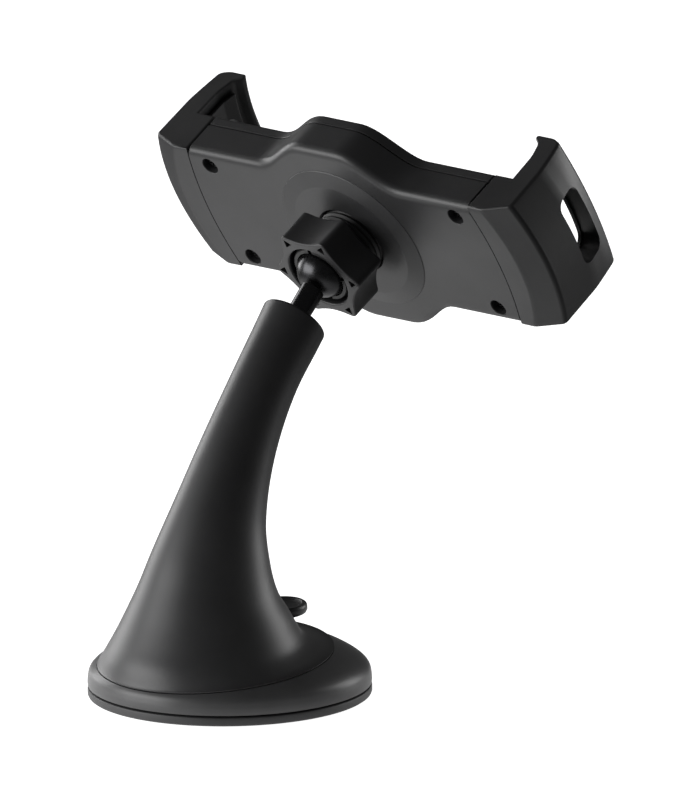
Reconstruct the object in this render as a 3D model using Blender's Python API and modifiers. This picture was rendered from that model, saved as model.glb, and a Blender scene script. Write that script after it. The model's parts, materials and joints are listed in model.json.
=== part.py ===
"""Phone mount on a suction base: a horn-shaped stem, a ball joint with a clamp nut, and a
cradle whose two hooked jaws slide apart on racks and a pinion.

Lengths in this file are in millimetres; MM turns them into metres as each mesh is made.
World frame: +Z up, origin at the middle of the suction face, the cradle faces -Y.
Cradle frame: X across the jaws, Y up the cradle, Z out of its front, origin on its back face.
"""

from math import acos, asin, cos, pi, radians, sin, sqrt, tan

import bmesh
import bpy
from mathutils import Matrix, Vector

MM = 0.001
GAP = 0.3

# Suction base
BASE_R = 37.5
PAD_TOP = 2.6
SEAT_Y = 5.4
SEAT_Z = 11.0
SEAT_R = 31.4
SEAT_TILT = -5.7
CAM_PLATE_TOP = 11.1
PIVOT_Z = 17.8
TAB_Y = -20.1
TAB_R = 7.0
LEVER_THICK = 2.8
BASE_SCREWS = [(-16.5, 8.2, 7.3), (16.5, 8.2, 7.3), (0.0, 24.7, 5.7)]

# Stem: height, offset in Y, radius and lean of each section, from the foot to the top
STEM_SECTIONS = [
    (SEAT_Z, SEAT_Y, SEAT_R, SEAT_TILT),
    (15.0, 8.8, 26.6, -3.5),
    (19.0, 8.7, 24.1, -1.5),
    (24.0, 8.3, 21.5, 1.0),
    (30.0, 7.9, 18.5, 6.0),
    (38.0, 6.5, 15.8, 12.0),
    (50.0, 2.9, 12.5, 20.0),
    (66.0, -4.7, 10.0, 29.5),
    (82.0, -15.1, 8.8, 38.5),
    (96.55, -27.28, 9.05, 46.7),
]
STEM_WALL = 2.5
STEM_PLUG = 8.0
SLOT_HALF = 5.4
SLOT_LOW = 16.4
SLOT_HIGH = 30.5

# Ball joint
STEM_TOP = Vector((0.0, -27.28, 96.55))
STEM_LEAN = 46.7
BALL_OUT = 16.0
BALL_R = 7.4
NECK_R = 2.9
BALL_BEHIND = 13.3
HEAD_TILT = 13.04
NUT_BACK = -16.4
NUT_FRONT = -5.9
NUT_CORNER_R = 14.8
NUT_SCALLOP = 1.2
THREAD_R = 9.7
SOCKET_BORE = 7.95

# Cradle
HALF_HEIGHT = 19.7
HUMP_HEIGHT = 29.0
HUMP_FLAT = 6.5
HUMP_END = 26.0
SEAM_X = 52.5
SEAM_BOW = 2.5
WALL = 2.0
PART_LINE = 10.1
FRONT_FACE = 13.5
BOSS_HIGH = 1.3
SHELL_SCREWS = [(-44.0, -16.0), (-44.0, 16.0), (44.0, -16.0), (44.0, 16.0)]
SOCKET_SCREWS = [(14.2, 0.0), (0.0, 14.2), (-14.2, 0.0), (0.0, -14.2)]

# Rack and pinion
MODULE = 1.0
TEETH = 12
PITCH_R = MODULE * TEETH / 2
TOOTH_THICK = 1.2
ADDENDUM = 0.8
DEDENDUM = 1.25
PRESSURE = radians(20)
GEAR_LOW = 4.6
GEAR_HIGH = 8.0
RACK_BACK = 11.6
RACK_TEETH = 11
RACK_SCREW_X = 58.0
RACK_SCREW_Y = (-8.5, 8.5)

# Jaws
JAW_HALF = 20.0
WINDOW = (10.8, 15.5, 24.8)

BLACK_PLASTIC = ("black_plastic", (0.030, 0.030, 0.031), 0.42, 0.0)
SATIN_PLASTIC = ("satin_plastic", (0.022, 0.022, 0.023), 0.34, 0.0)
RUBBER = ("rubber", (0.045, 0.045, 0.046), 0.62, 0.0)
STEEL = ("steel", (0.55, 0.55, 0.56), 0.30, 1.0)
BLACK_STEEL = ("black_steel", (0.05, 0.05, 0.05), 0.38, 1.0)
NYLON = ("nylon", (0.72, 0.71, 0.67), 0.45, 0.0)


def clear_scene():
    for obj in list(bpy.data.objects):
        bpy.data.objects.remove(obj, do_unlink=True)


def new_collection(name):
    group = bpy.data.collections.new(name)
    bpy.context.scene.collection.children.link(group)
    return group


def material(spec):
    name, color, roughness, metallic = spec
    found = bpy.data.materials.get(name)
    if found:
        return found
    made = bpy.data.materials.new(name)
    made.use_nodes = True
    shader = made.node_tree.nodes["Principled BSDF"]
    shader.inputs["Base Color"].default_value = (*color, 1.0)
    shader.inputs["Roughness"].default_value = roughness
    shader.inputs["Metallic"].default_value = metallic
    return made


def frame_empty(name, origin, tilt=0.0):
    """An empty whose X axis is the world's and whose Z axis leans towards -Y by tilt."""
    empty = bpy.data.objects.new(name, None)
    empty.location = Vector(origin) * MM
    empty.rotation_euler = (radians(tilt), 0.0, 0.0)
    PARTS.objects.link(empty)
    return empty


def bake(obj):
    """Replace the object's data with the mesh its modifiers or curve settings give."""
    bpy.context.view_layer.update()
    depsgraph = bpy.context.evaluated_depsgraph_get()
    mesh = bpy.data.meshes.new_from_object(obj.evaluated_get(depsgraph))
    made = bpy.data.objects.new(obj.name, mesh)
    bm = bmesh.new()
    bm.from_mesh(mesh)
    bmesh.ops.remove_doubles(bm, verts=bm.verts, dist=0.0000005)
    bm.to_mesh(mesh)
    bm.free()
    bpy.data.objects.remove(obj, do_unlink=True)
    CUTTERS.objects.link(made)
    return made


def from_bmesh(name, bm):
    mesh = bpy.data.meshes.new(name)
    bm.to_mesh(mesh)
    bm.free()
    obj = bpy.data.objects.new(name, mesh)
    CUTTERS.objects.link(obj)
    return obj


def box(name, low, high):
    bm = bmesh.new()
    size = [(b - a) * MM for a, b in zip(low, high)]
    centre = [(a + b) / 2 * MM for a, b in zip(low, high)]
    bmesh.ops.create_cube(bm, size=1.0, matrix=Matrix.Translation(centre) @ Matrix.Diagonal((*size, 1)))
    return from_bmesh(name, bm)


def cylinder(name, radius, low, high, centre=(0.0, 0.0), segments=24):
    bm = bmesh.new()
    place = Matrix.Translation((centre[0] * MM, centre[1] * MM, (low + high) / 2 * MM))
    bmesh.ops.create_cone(bm, cap_ends=True, segments=segments, radius1=radius * MM,
                          radius2=radius * MM, depth=(high - low) * MM, matrix=place)
    return from_bmesh(name, bm)


def turned(name, profile, steps=40, closed=False):
    """A profile of (radius, height) points, down its outer side, turned about Z."""
    mesh = bpy.data.meshes.new(name)
    edges = [(i, i + 1) for i in range(len(profile) - 1)]
    if closed:
        edges.append((len(profile) - 1, 0))
    mesh.from_pydata([(r * MM, 0.0, z * MM) for r, z in profile], edges, [])
    obj = bpy.data.objects.new(name, mesh)
    CUTTERS.objects.link(obj)
    screw = obj.modifiers.new("turn", "SCREW")
    screw.steps = steps
    screw.render_steps = steps
    screw.use_merge_vertices = True
    screw.merge_threshold = 0.00001
    return bake(obj)


def prism(name, outline, low, high):
    """A flat outline in X and Y, extruded from low to high along Z."""
    bm = bmesh.new()
    face = bm.faces.new([bm.verts.new((x * MM, y * MM, low * MM)) for x, y in outline])
    raised = bmesh.ops.extrude_face_region(bm, geom=[face], use_keep_orig=True)
    top = [part for part in raised["geom"] if isinstance(part, bmesh.types.BMVert)]
    bmesh.ops.translate(bm, verts=top, vec=(0.0, 0.0, (high - low) * MM))
    bmesh.ops.recalc_face_normals(bm, faces=bm.faces)
    return from_bmesh(name, bm)


def loft(name, rings):
    """A closed skin over rings of points that all have the same count, capped at both ends."""
    bm = bmesh.new()
    loops = [[bm.verts.new(Vector(p) * MM) for p in ring] for ring in rings]
    count = len(rings[0])
    for near, far in zip(loops, loops[1:]):
        for i in range(count):
            j = (i + 1) % count
            bm.faces.new((near[i], near[j], far[j], far[i]))
    bm.faces.new(list(reversed(loops[0])))
    bm.faces.new(loops[-1])
    bmesh.ops.recalc_face_normals(bm, faces=bm.faces)
    return from_bmesh(name, bm)


def wire(name, points, radius):
    """A round wire through a list of points."""
    curve = bpy.data.curves.new(name, "CURVE")
    curve.dimensions = "3D"
    curve.bevel_depth = radius * MM
    curve.bevel_resolution = 0
    curve.use_fill_caps = True
    spline = curve.splines.new("POLY")
    spline.points.add(len(points) - 1)
    for point, place in zip(spline.points, points):
        point.co = (*(Vector(place) * MM), 1.0)
    obj = bpy.data.objects.new(name, curve)
    CUTTERS.objects.link(obj)
    return bake(obj)


def combine(obj, others, operation):
    """Join others to a piece, cut them from it, or keep what they share."""
    for other in others:
        other.hide_render = True
        other.display_type = "WIRE"
        step = obj.modifiers.new(operation.lower(), "BOOLEAN")
        step.operation = operation
        step.solver = "EXACT"
        step.object = other
        obj = bake(obj)
    return obj


def cut(obj, *cutters):
    return combine(obj, cutters, "DIFFERENCE")


def join(obj, *others):
    return combine(obj, others, "UNION")


def turn(obj, matrix):
    obj.data.transform(matrix)
    return obj


def finish(obj, name, spec, parent):
    """Name a piece, give it its material and hang it on its frame."""
    obj.name = name
    obj.data.name = name
    obj.data.materials.clear()
    obj.data.materials.append(material(spec))
    obj.data.shade_smooth()
    obj.data.set_sharp_from_angle(angle=radians(32))
    CUTTERS.objects.unlink(obj)
    PARTS.objects.link(obj)
    obj.parent = parent
    return obj


def arc_points(centre, radius, start, end, steps):
    """Points on an arc, from start to end in degrees."""
    angles = [radians(start + (end - start) * i / steps) for i in range(steps + 1)]
    return [(centre[0] + radius * cos(a), centre[1] + radius * sin(a)) for a in angles]


def screw(head_r, shank_r, head_top, head_low, tip, centre):
    """A pan-head screw along Z; its head lies between head_low and head_top."""
    step = 1 if tip > head_top else -1
    inner = head_top if step > 0 else head_low
    head = cylinder("screw_head", head_r, head_low, head_top, centre, 16)
    shank = cylinder("screw_shank", shank_r, min(inner, tip) - 0.1, max(inner, tip) + 0.1, centre, 12)
    return join(head, shank)


# Suction base


def suction_pad(root):
    """Rubber disc with a boss that holds the foot of the pull rod."""
    profile = [
        (0.0, 1.2), (6.1, 1.2), (6.1, 4.2), (3.4, 4.2), (3.4, 5.2), (9.0, 5.2), (9.0, 3.0),
        (10.0, PAD_TOP), (37.2, PAD_TOP), (BASE_R, 2.3), (BASE_R, 0.6), (37.0, 0.0), (0.0, 0.0),
    ]
    return finish(turned("pad", profile, 44), "suction_pad", RUBBER, root)


def stem_seat_cutter(name, grow):
    """The leaning cylinder in which the stem's foot stands."""
    seat = cylinder(name, SEAT_R + grow, -GAP, 20.0, segments=44)
    place = Matrix.Translation((0.0, SEAT_Y * MM, SEAT_Z * MM)) @ Matrix.Rotation(radians(SEAT_TILT), 4, "X")
    return turn(seat, place)


def base_ring(root):
    """Domed ring over the pad, with a leaning seat for the stem and a flat for the cam plate."""
    dome = [
        (0.0, 15.4), (20.0, 15.4), (26.0, 13.8), (28.8, 12.7), (32.4, 10.9), (35.3, 9.0), (36.9, 7.3),
        (37.45, 5.2), (BASE_R, PAD_TOP + GAP), (34.5, PAD_TOP + GAP), (34.5, 4.8), (24.0, 6.8),
        (12.0, 8.6), (0.0, 8.8),
    ]
    ring = cut(turned("ring", dome, 44), stem_seat_cutter("seat_cutter", GAP),
               cylinder("cam_recess", 12.3, 10.0, 20.0), cylinder("rod_hole", 3.5, 5.0, 20.0))
    holes = [cylinder("screw_hole", 1.5, 3.0, 20.0, (x, y), 12) for x, y, _ in BASE_SCREWS]
    return finish(cut(ring, *holes), "base_ring", SATIN_PLASTIC, root)


def cam_plate(root):
    profile = [(11.8, CAM_PLATE_TOP), (11.8, 10.3), (4.0, 10.3), (4.0, CAM_PLATE_TOP)]
    return finish(turned("plate", profile, 24, closed=True), "cam_plate", STEEL, root)


def release_spring(root):
    """Short conical coil between the pad's boss and the ring."""
    turns = 2.4
    points = []
    for i in range(int(turns * 12) + 1):
        angle = 2 * pi * i / 12
        share = i / (turns * 12)
        radius = 6.6 - 1.6 * share
        points.append((radius * cos(angle), radius * sin(angle), 6.0 + 2.0 * share))
    return finish(wire("coil", points, 0.4), "release_spring", STEEL, root)


def plunger(axis):
    """Pull rod: a foot in the pad's boss and an eye for the lever's pin."""
    foot_z = 2.7 - PIVOT_Z
    profile = [(0.0, 3.2), (1.8, 3.0), (3.0, 1.6), (3.0, foot_z + 1.2), (5.8, foot_z + 1.2),
               (5.8, foot_z), (0.0, foot_z)]
    eye = turn(cylinder("eye", 1.8, -5.0, 5.0, segments=20), Matrix.Rotation(pi / 2, 4, "Y"))
    return finish(cut(turned("rod", profile, 20), eye), "plunger", STEEL, axis)


def lever_pin(axis):
    pin = turn(cylinder("pin", 1.5, -7.2, 7.2, segments=20), Matrix.Rotation(pi / 2, 4, "Y"))
    return finish(pin, "lever_pin", STEEL, axis)


def side_plate(name, outline, x_low, x_high):
    """An outline in Y and Z, made thick along X."""
    plate = prism(name, outline, x_low, x_high)
    return turn(plate, Matrix(((0, 0, 1, 0), (1, 0, 0, 0), (0, 1, 0, 0), (0, 0, 0, 1))))


def lever(axis):
    """Thumb lever: two cam cheeks on the pin, an arm out of the stem's slot and a round tab."""
    cheek_outline = arc_points((0.0, 0.0), 3.6, 0, 180, 10) + arc_points((0.0, -2.9), 3.3, 180, 360, 10)
    lug_outline = [(-8.4, 0.4), (0.0, -2.0), (0.0, 3.4), (-8.4, 3.0)]
    shield_outline = arc_points((0.0, 0.0), 11.0, 130, 176, 8) + arc_points((0.0, 0.0), 9.8, 176, 130, 8)
    cheeks = []
    for x_low, x_high in ((3.4, 6.6), (-6.6, -3.4)):
        cheeks.append(side_plate("cheek", cheek_outline, x_low, x_high))
        cheeks.append(side_plate("lug", lug_outline, x_low, x_high))
    tab_edge = -17.6
    edge = asin((tab_edge - TAB_Y) / TAB_R) * 180 / pi
    arm_outline = [(-6.6, -4.4), (-6.6, -9.0), (-4.8, -10.8), (-4.8, tab_edge)]
    arm_outline += arc_points((0.0, TAB_Y), TAB_R, 180 - edge, 360 + edge, 20)
    arm_outline += [(4.8, tab_edge), (4.8, -10.8), (6.6, -9.0), (6.6, -4.4)]
    arm = prism("arm", arm_outline, -LEVER_THICK / 2, LEVER_THICK / 2)
    turn(arm, Matrix.Translation((0.0, 0.0, 2.4 * MM)) @ Matrix.Rotation(radians(6.0), 4, "X"))
    body = join(arm, *cheeks, side_plate("shield", shield_outline, -5.0, 5.0))
    hole = turn(cylinder("pin_hole", 1.8, -9.0, 9.0, segments=20), Matrix.Rotation(pi / 2, 4, "Y"))
    return finish(cut(body, hole), "lever", SATIN_PLASTIC, axis)


def base_screws(root):
    for number, (x, y, top) in enumerate(BASE_SCREWS, 1):
        finish(screw(2.3, 1.05, top, top - 1.4, 19.0, (x, y)), f"base_screw_{number}", STEEL, root)


# Stem


def smooth_value(table, column, height):
    """The table's column at a height, on a smooth curve through its rows."""
    rows = len(table)
    k = max(i for i in range(rows - 1) if height >= table[i][0] - 1e-9)
    low, high = table[k], table[k + 1]

    def slope(i):
        before, after = table[max(i - 1, 0)], table[min(i + 1, rows - 1)]
        return (after[column] - before[column]) / (after[0] - before[0])

    span = high[0] - low[0]
    t = (height - low[0]) / span
    rise = (2 * t ** 3 - 3 * t ** 2 + 1) * low[column] + (3 * t ** 2 - 2 * t ** 3) * high[column]
    bend = (t ** 3 - 2 * t ** 2 + t) * slope(k) + (t ** 3 - t ** 2) * slope(k + 1)
    return rise + span * bend


def stem_ring(height, inset, count=32):
    """The circle of the stem's section at a height, inset from its outer face."""
    y, radius, lean = [smooth_value(STEM_SECTIONS, c, height) for c in (1, 2, 3)]
    radius -= inset
    lean = radians(lean)
    ring = []
    for i in range(count):
        a = 2 * pi * i / count
        across = radius * sin(a)
        ring.append((radius * cos(a), y + across * cos(lean), height + across * sin(lean)))
    return ring


def stem(root):
    """Hollow horn with screw bosses in its foot, a lever slot in front and a plug at the top."""
    foot, top = STEM_SECTIONS[0][0], STEM_SECTIONS[-1][0]
    heights = [foot, 12.2, 14.0, 16.5] + [20.0 + (top - 20.0) * i / 10 for i in range(11)]
    outer = loft("outer", [stem_ring(z, 0.0) for z in heights])
    plug_z = top - STEM_PLUG * cos(radians(STEM_LEAN)) - 0.5
    inner_heights = [foot, 12.2, 14.0, 16.5] + [20.0 + (plug_z - 20.0) * i / 8 for i in range(9)]
    rings = [stem_ring(z, STEM_WALL) for z in inner_heights]
    rings.insert(0, [(x, y, z - 3.0) for x, y, z in rings[0]])
    body = cut(outer, loft("hollow", rings))
    for x, y, _ in BASE_SCREWS:
        boss = cylinder("boss", 3.0, SEAT_Z - 6.0, 25.0, (x, y), 20)
        shape = combine(boss, [loft("boss_limit", [stem_ring(z, 0.8) for z in heights[:8]])], "INTERSECT")
        body = join(body, shape)
        body = cut(body, cylinder("boss_hole", 1.35, 0.0, 21.0, (x, y), 12))
    body = cut(body, box("slot", (-SLOT_HALF, -40.0, SLOT_LOW), (SLOT_HALF, -4.0, SLOT_HIGH)))
    bore = cylinder("stud_bore", NECK_R + GAP, -16.0, 5.0, segments=24)
    turn(bore, Matrix.Translation(STEM_TOP * MM) @ Matrix.Rotation(radians(STEM_LEAN), 4, "X"))
    return finish(cut(body, bore), "stem", BLACK_PLASTIC, root)


# Ball joint


def ball_stud(axis):
    """Ball on a round neck; a groove near its end takes the clip in the stem."""
    low = -(BALL_OUT + STEM_PLUG)
    angle = 180 / pi * acos(NECK_R / BALL_R)
    profile = arc_points((0.0, 0.0), BALL_R, 90, -angle, 10)
    profile[0] = (0.0, BALL_R)
    profile += [(NECK_R, low - 0.3), (1.9, low - 0.3), (1.9, low - 1.7), (NECK_R, low - 1.7),
                (NECK_R, low - 3.5), (0.0, low - 3.5)]
    return finish(turned("stud", profile, 24), "ball_stud", BLACK_STEEL, axis)


def stud_clip(axis):
    top = -(BALL_OUT + STEM_PLUG) - 0.6
    profile = [(5.0, top), (5.0, top - 0.8), (2.2, top - 0.8), (2.2, top)]
    return finish(turned("clip", profile, 24, closed=True), "stud_clip", STEEL, axis)


def seat_cup(cradle):
    """Low-friction cup between the ball's front and the socket's floor."""
    reach = BALL_R + GAP
    ball_z = -BALL_BEHIND
    rim = -9.5
    start = 180 / pi * acos(sqrt(reach ** 2 - (rim - ball_z) ** 2) / reach)
    profile = [(0.0, 1.2), (7.65, 1.2), (7.65, rim)] + arc_points((0.0, ball_z), reach, start, 90, 5)
    profile[-1] = (0.0, ball_z + reach)
    return finish(turned("cup", profile, 24), "seat_cup", NYLON, cradle)


def collet_socket(cradle):
    """Threaded socket: four sprung fingers round the ball and a flange inside the cradle."""
    reach = BALL_R + GAP
    ball_z = -BALL_BEHIND
    rim = -15.4
    start = -180 / pi * acos(sqrt(reach ** 2 - (rim - ball_z) ** 2) / reach)
    profile = [(0.0, 3.8), (17.0, 3.8), (17.0, WALL + GAP), (THREAD_R, WALL + GAP), (THREAD_R, -12.8),
               (8.7, rim)]
    profile += arc_points((0.0, ball_z), reach, start, 0, 4)
    profile += [(SOCKET_BORE, ball_z + 0.2), (SOCKET_BORE, 1.5), (0.0, 1.5)]
    socket = turned("socket", profile, 32)
    slots = [box("slot", (-12.0, -0.6, -17.0), (12.0, 0.6, -7.0)),
             box("slot", (-0.6, -12.0, -17.0), (0.6, 12.0, -7.0))]
    holes = [cylinder("flange_hole", 1.3, 0.0, 6.0, place, 12) for place in SOCKET_SCREWS]
    return finish(cut(socket, *slots, *holes), "collet_socket", BLACK_PLASTIC, cradle)


def socket_screws(cradle):
    for number, place in enumerate(SOCKET_SCREWS, 1):
        finish(screw(2.0, 1.0, 5.2, 4.1, -0.2, place), f"socket_screw_{number}", STEEL, cradle)


def nut_outline(steps=8):
    """Six rounded corners joined by hollowed sides."""
    flat = NUT_CORNER_R * cos(pi / 6)
    points = []
    for side in range(6):
        for i in range(steps):
            phi = radians(-30 + 60 * i / steps)
            radius = flat / cos(phi) - NUT_SCALLOP * cos(3 * phi) ** 2
            radius = min(radius, NUT_CORNER_R - 0.35)
            angle = radians(30 + 60 * side) + phi
            points.append((radius * cos(angle), radius * sin(angle)))
    return points


def clamp_nut(cradle):
    """Hand nut that closes the socket's fingers; small cored pockets behind its corners."""
    bore = [(0.0, NUT_FRONT + 1.0), (THREAD_R + GAP, NUT_FRONT + 1.0), (THREAD_R + GAP, -13.3), (9.1, -15.9),
            (9.6, NUT_BACK), (9.6, NUT_BACK - 1.0), (0.0, NUT_BACK - 1.0)]
    nut = cut(prism("nut", nut_outline(), NUT_BACK, NUT_FRONT), turned("nut_bore", bore, 28))
    for corner in range(6):
        pocket = prism("pocket", [(13.6, 0.0), (11.5, 1.5), (11.5, -1.5)], NUT_BACK - 1.0, NUT_BACK + 2.5)
        nut = cut(nut, turn(pocket, Matrix.Rotation(pi / 3 * corner, 4, "Z")))
    return finish(nut, "clamp_nut", BLACK_PLASTIC, cradle)


# Cradle shells


def edge_height(x, inset=0.0):
    """Half height of the cradle at x: level ends that sweep up to the hump in the middle."""
    share = min(max((abs(x) - HUMP_FLAT) / (HUMP_END - HUMP_FLAT), 0.0), 1.0)
    return HALF_HEIGHT + (HUMP_HEIGHT - HALF_HEIGHT) * (1 + cos(pi * share)) / 2 - inset


def cradle_outline(inset=0.0, end_x=SEAM_X - GAP / 2):
    """Plan of the cradle body, with bowed ends."""
    end_x -= inset
    corner_x = end_x - SEAM_BOW
    sweep = [-HUMP_END + 2 * HUMP_END * i / 16 for i in range(17)]
    top = [(corner_x, edge_height(corner_x, inset))]
    top += [(x, edge_height(x, inset)) for x in reversed(sweep)]
    top.append((-corner_x, edge_height(corner_x, inset)))
    ends = []
    for i in range(1, 6):
        y = edge_height(corner_x, inset) * (1 - 2 * i / 6)
        ends.append((-(end_x - SEAM_BOW * (y / JAW_HALF) ** 2), y))
    half = top + ends
    return half + [(-x, -y) for x, y in half]


def arm_openings(name):
    """Openings in both ends of the shells for the rack arms and the springs."""
    return [box(name, (46.0, -3.5, 4.2), (60.0, 13.0, 9.2)),
            box(name, (-60.0, -13.0, 4.2), (-46.0, 3.5, 9.2))]


def rear_shell(cradle):
    """Tray that carries the socket on a low boss, with four screw towers."""
    outer = prism("outer", cradle_outline(), 0.0, PART_LINE - 0.1)
    tray = cut(outer, prism("inside", cradle_outline(WALL), WALL, 20.0))
    boss = [(0.0, 1.0), (22.9, 1.0), (22.9, 0.0), (18.1, -BOSS_HIGH), (0.0, -BOSS_HIGH)]
    tray = join(tray, turned("boss", boss, 36))
    for place in SHELL_SCREWS:
        tray = join(tray, cylinder("tower", 3.4, 1.0, 9.7, place, 20))
        tray = cut(tray, cylinder("head_recess", 2.4, -1.0, 2.4, place, 20),
                   cylinder("tower_hole", 1.5, 1.0, 12.0, place, 12))
    for side in (1, -1):
        tray = join(tray, cylinder("spring_post", 1.2, 1.0, 8.6, (20.0 * side, 0.0), 16))
    holes = [cylinder("pilot", 1.3, -0.6, 4.0, place, 12) for place in SOCKET_SCREWS]
    tray = cut(tray, cylinder("neck_hole", THREAD_R + 0.4, -3.0, 4.0, segments=32),
               *holes, *arm_openings("arm_opening"))
    return finish(tray, "rear_shell", BLACK_PLASTIC, cradle)


def front_shell(cradle):
    """Shallow lid with posts for the screws and a socket for the pinion's pin."""
    outer = prism("outer", cradle_outline(), PART_LINE + 0.2, FRONT_FACE)
    lid = cut(outer, prism("inside", cradle_outline(WALL), 5.0, 11.5))
    for place in SHELL_SCREWS:
        lid = join(lid, cylinder("post", 3.4, PART_LINE + 0.4, 12.0, place, 20))
        lid = cut(lid, cylinder("post_hole", 1.5, 8.0, 12.5, place, 12))
    lid = join(lid, cylinder("pin_boss", 3.2, 9.0, 12.0, segments=24))
    lid = cut(lid, cylinder("pin_socket", 1.55, 8.0, 12.7, segments=16))
    return finish(lid, "front_shell", BLACK_PLASTIC, cradle)


def front_pad(cradle):
    pad = prism("pad", cradle_outline(4.0), FRONT_FACE + GAP, FRONT_FACE + 1.1)
    return finish(pad, "front_pad", RUBBER, cradle)


def shell_screws(cradle):
    for number, place in enumerate(SHELL_SCREWS, 1):
        finish(screw(2.1, 1.2, 2.1, 0.9, 12.0, place), f"shell_screw_{number}", BLACK_STEEL, cradle)


# Rack and pinion


def involute(angle):
    return tan(angle) - angle


def pinion(cradle):
    """Twelve-tooth pinion between the two racks, one tooth towards each."""
    base_r = PITCH_R * cos(PRESSURE)
    root_r = PITCH_R - DEDENDUM
    flank = [(base_r, 0.0), (PITCH_R, PRESSURE), (PITCH_R + ADDENDUM, acos(base_r / (PITCH_R + ADDENDUM)))]
    half_thick = TOOTH_THICK / 2 / PITCH_R
    outline = []
    for tooth in range(TEETH):
        middle = pi / 2 + 2 * pi * tooth / TEETH
        rising = [(r, half_thick + involute(PRESSURE) - involute(a)) for r, a in flank]
        rising.insert(0, (root_r, rising[0][1]))
        side = [(r, middle - half) for r, half in rising] + [(r, middle + half) for r, half in reversed(rising)]
        outline += [(r * cos(a), r * sin(a)) for r, a in side]
    gear = prism("gear", outline, GEAR_LOW, GEAR_HIGH)
    return finish(cut(gear, cylinder("bore", 1.55, 0.0, 10.0, segments=20)), "pinion", NYLON, cradle)


def pinion_pin(cradle):
    return finish(cylinder("pin", 1.25, 4.2, 12.4, segments=20), "pinion_pin", STEEL, cradle)


def rack_solid(name):
    """The left jaw's toothed arm, with the plate that is screwed into the jaw."""
    pitch = pi * MODULE
    root_y, tip_y = PITCH_R + DEDENDUM, PITCH_R - ADDENDUM
    root_half = TOOTH_THICK / 2 + DEDENDUM * tan(PRESSURE)
    tip_half = TOOTH_THICK / 2 - ADDENDUM * tan(PRESSURE)
    outline = [(55.0, RACK_BACK), (55.0, root_y)]
    for k in range(RACK_TEETH):
        x = (0.5 - k) * pitch
        outline += [(x + root_half, root_y), (x + tip_half, tip_y), (x - tip_half, tip_y), (x - root_half, root_y)]
    end = outline[-1][0] - 1.0
    outline += [(end, root_y), (end, RACK_BACK)]
    arm = prism(name, outline, GEAR_LOW, GEAR_HIGH)
    plate = box("plate", (54.0, -12.5, GEAR_LOW), (62.0, 12.5, GEAR_HIGH))
    holes = [cylinder("plate_hole", 1.3, 3.0, 10.0, (RACK_SCREW_X, y), 12) for y in RACK_SCREW_Y]
    return cut(join(plate, arm), *holes)


def spring_solid():
    """Extension spring from a post in the cradle to the jaw's rack plate."""
    start, end, turns = 25.0, 49.0, 6
    points = [(22.0, 0.0, 6.3), (start - 1.5, 0.0, 6.3)]
    for i in range(turns * 8 + 1):
        angle = 2 * pi * i / 8
        x = start + (end - start) * i / (turns * 8)
        points.append((x, 1.7 * sin(angle), 6.3 + 1.7 * cos(angle)))
    points += [(end + 1.5, 0.0, 6.3), (53.3, 0.0, 6.3)]
    return wire("coil", points, 0.35)


# Jaws


def jaw_section(y, points):
    """A jaw's section at y; each point is x, height and how far it bows in at the ends."""
    share = (y / JAW_HALF) ** 2
    return [(x - bow * share, y, z) for x, z, bow in points]


def window_solid(name, half, low, high, radius=3.0):
    """Rounded opening through the jaw, in Y and Z."""
    outline = []
    for y, z, start in ((half, high, 0), (-half, high, 90), (-half, low, 180), (half, low, 270)):
        centre = (y - radius if y > 0 else y + radius, z - radius if z == high else z + radius)
        outline += arc_points(centre, radius, start, start + 90, 4)
    return side_plate(name, outline, 45.0, 80.0)


def jaw_solid():
    """Hooked end of the cradle: hollow root, chamfered back, window in its wall and a lip."""
    seam = SEAM_X + GAP / 2
    points = [
        (seam, 0.0, SEAM_BOW), (60.0, 0.0, 5.0), (67.4, 3.2, 3.9), (66.9, 17.8, 3.9), (65.2, 24.3, 3.3),
        (62.9, 28.8, 1.9), (60.5, 30.0, 2.5), (56.2, 30.0, 3.9), (55.9, 28.7, 3.9), (58.4, 26.8, 3.9),
        (59.8, 22.0, 3.9), (60.0, FRONT_FACE, 3.9), (seam, FRONT_FACE, SEAM_BOW),
    ]
    stations = [-JAW_HALF + JAW_HALF * i / 4 for i in range(9)]
    body = loft("jaw", [jaw_section(y, points) for y in stations])
    holes = [cylinder("pilot", 1.3, 1.2, 6.0, (RACK_SCREW_X, y), 12) for y in RACK_SCREW_Y]
    return cut(body, box("pocket", (45.0, -13.0, GEAR_LOW - GAP), (62.4, 13.0, 11.0)),
               window_solid("window", *WINDOW), *holes)


def jaw_pad_solid():
    """Soft frame round the window, on the jaw's inner face."""
    points = [(59.7, 14.2, 3.9), (59.5, 22.0, 3.9), (58.3, 26.1, 3.9), (57.2, 25.7, 3.9), (58.4, 21.8, 3.9),
              (58.6, 14.2, 3.9)]
    stations = [-17.0 + 17.0 * i / 4 for i in range(9)]
    pad = loft("pad", [jaw_section(y, points) for y in stations])
    return cut(pad, window_solid("pad_window", 10.4, 15.9, 24.4))


def jaw_set(cradle, side):
    """One jaw with its pad, rack, screws and spring; the right set is the left one turned round."""
    name = "left" if side > 0 else "right"
    spin = Matrix.Rotation(0.0 if side > 0 else pi, 4, "Z")
    finish(turn(jaw_solid(), spin), name + "_jaw", BLACK_PLASTIC, cradle)
    finish(turn(jaw_pad_solid(), spin), name + "_jaw_pad", RUBBER, cradle)
    finish(turn(rack_solid("rack"), spin), name + "_rack", NYLON, cradle)
    for number, y in enumerate(RACK_SCREW_Y, 1):
        fastener = turn(screw(2.0, 1.0, 9.5, 8.3, 1.5, (RACK_SCREW_X, y)), spin)
        finish(fastener, f"{name}_rack_screw_{number}", STEEL, cradle)
    finish(turn(spring_solid(), spin), name + "_spring", STEEL, cradle)


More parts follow.
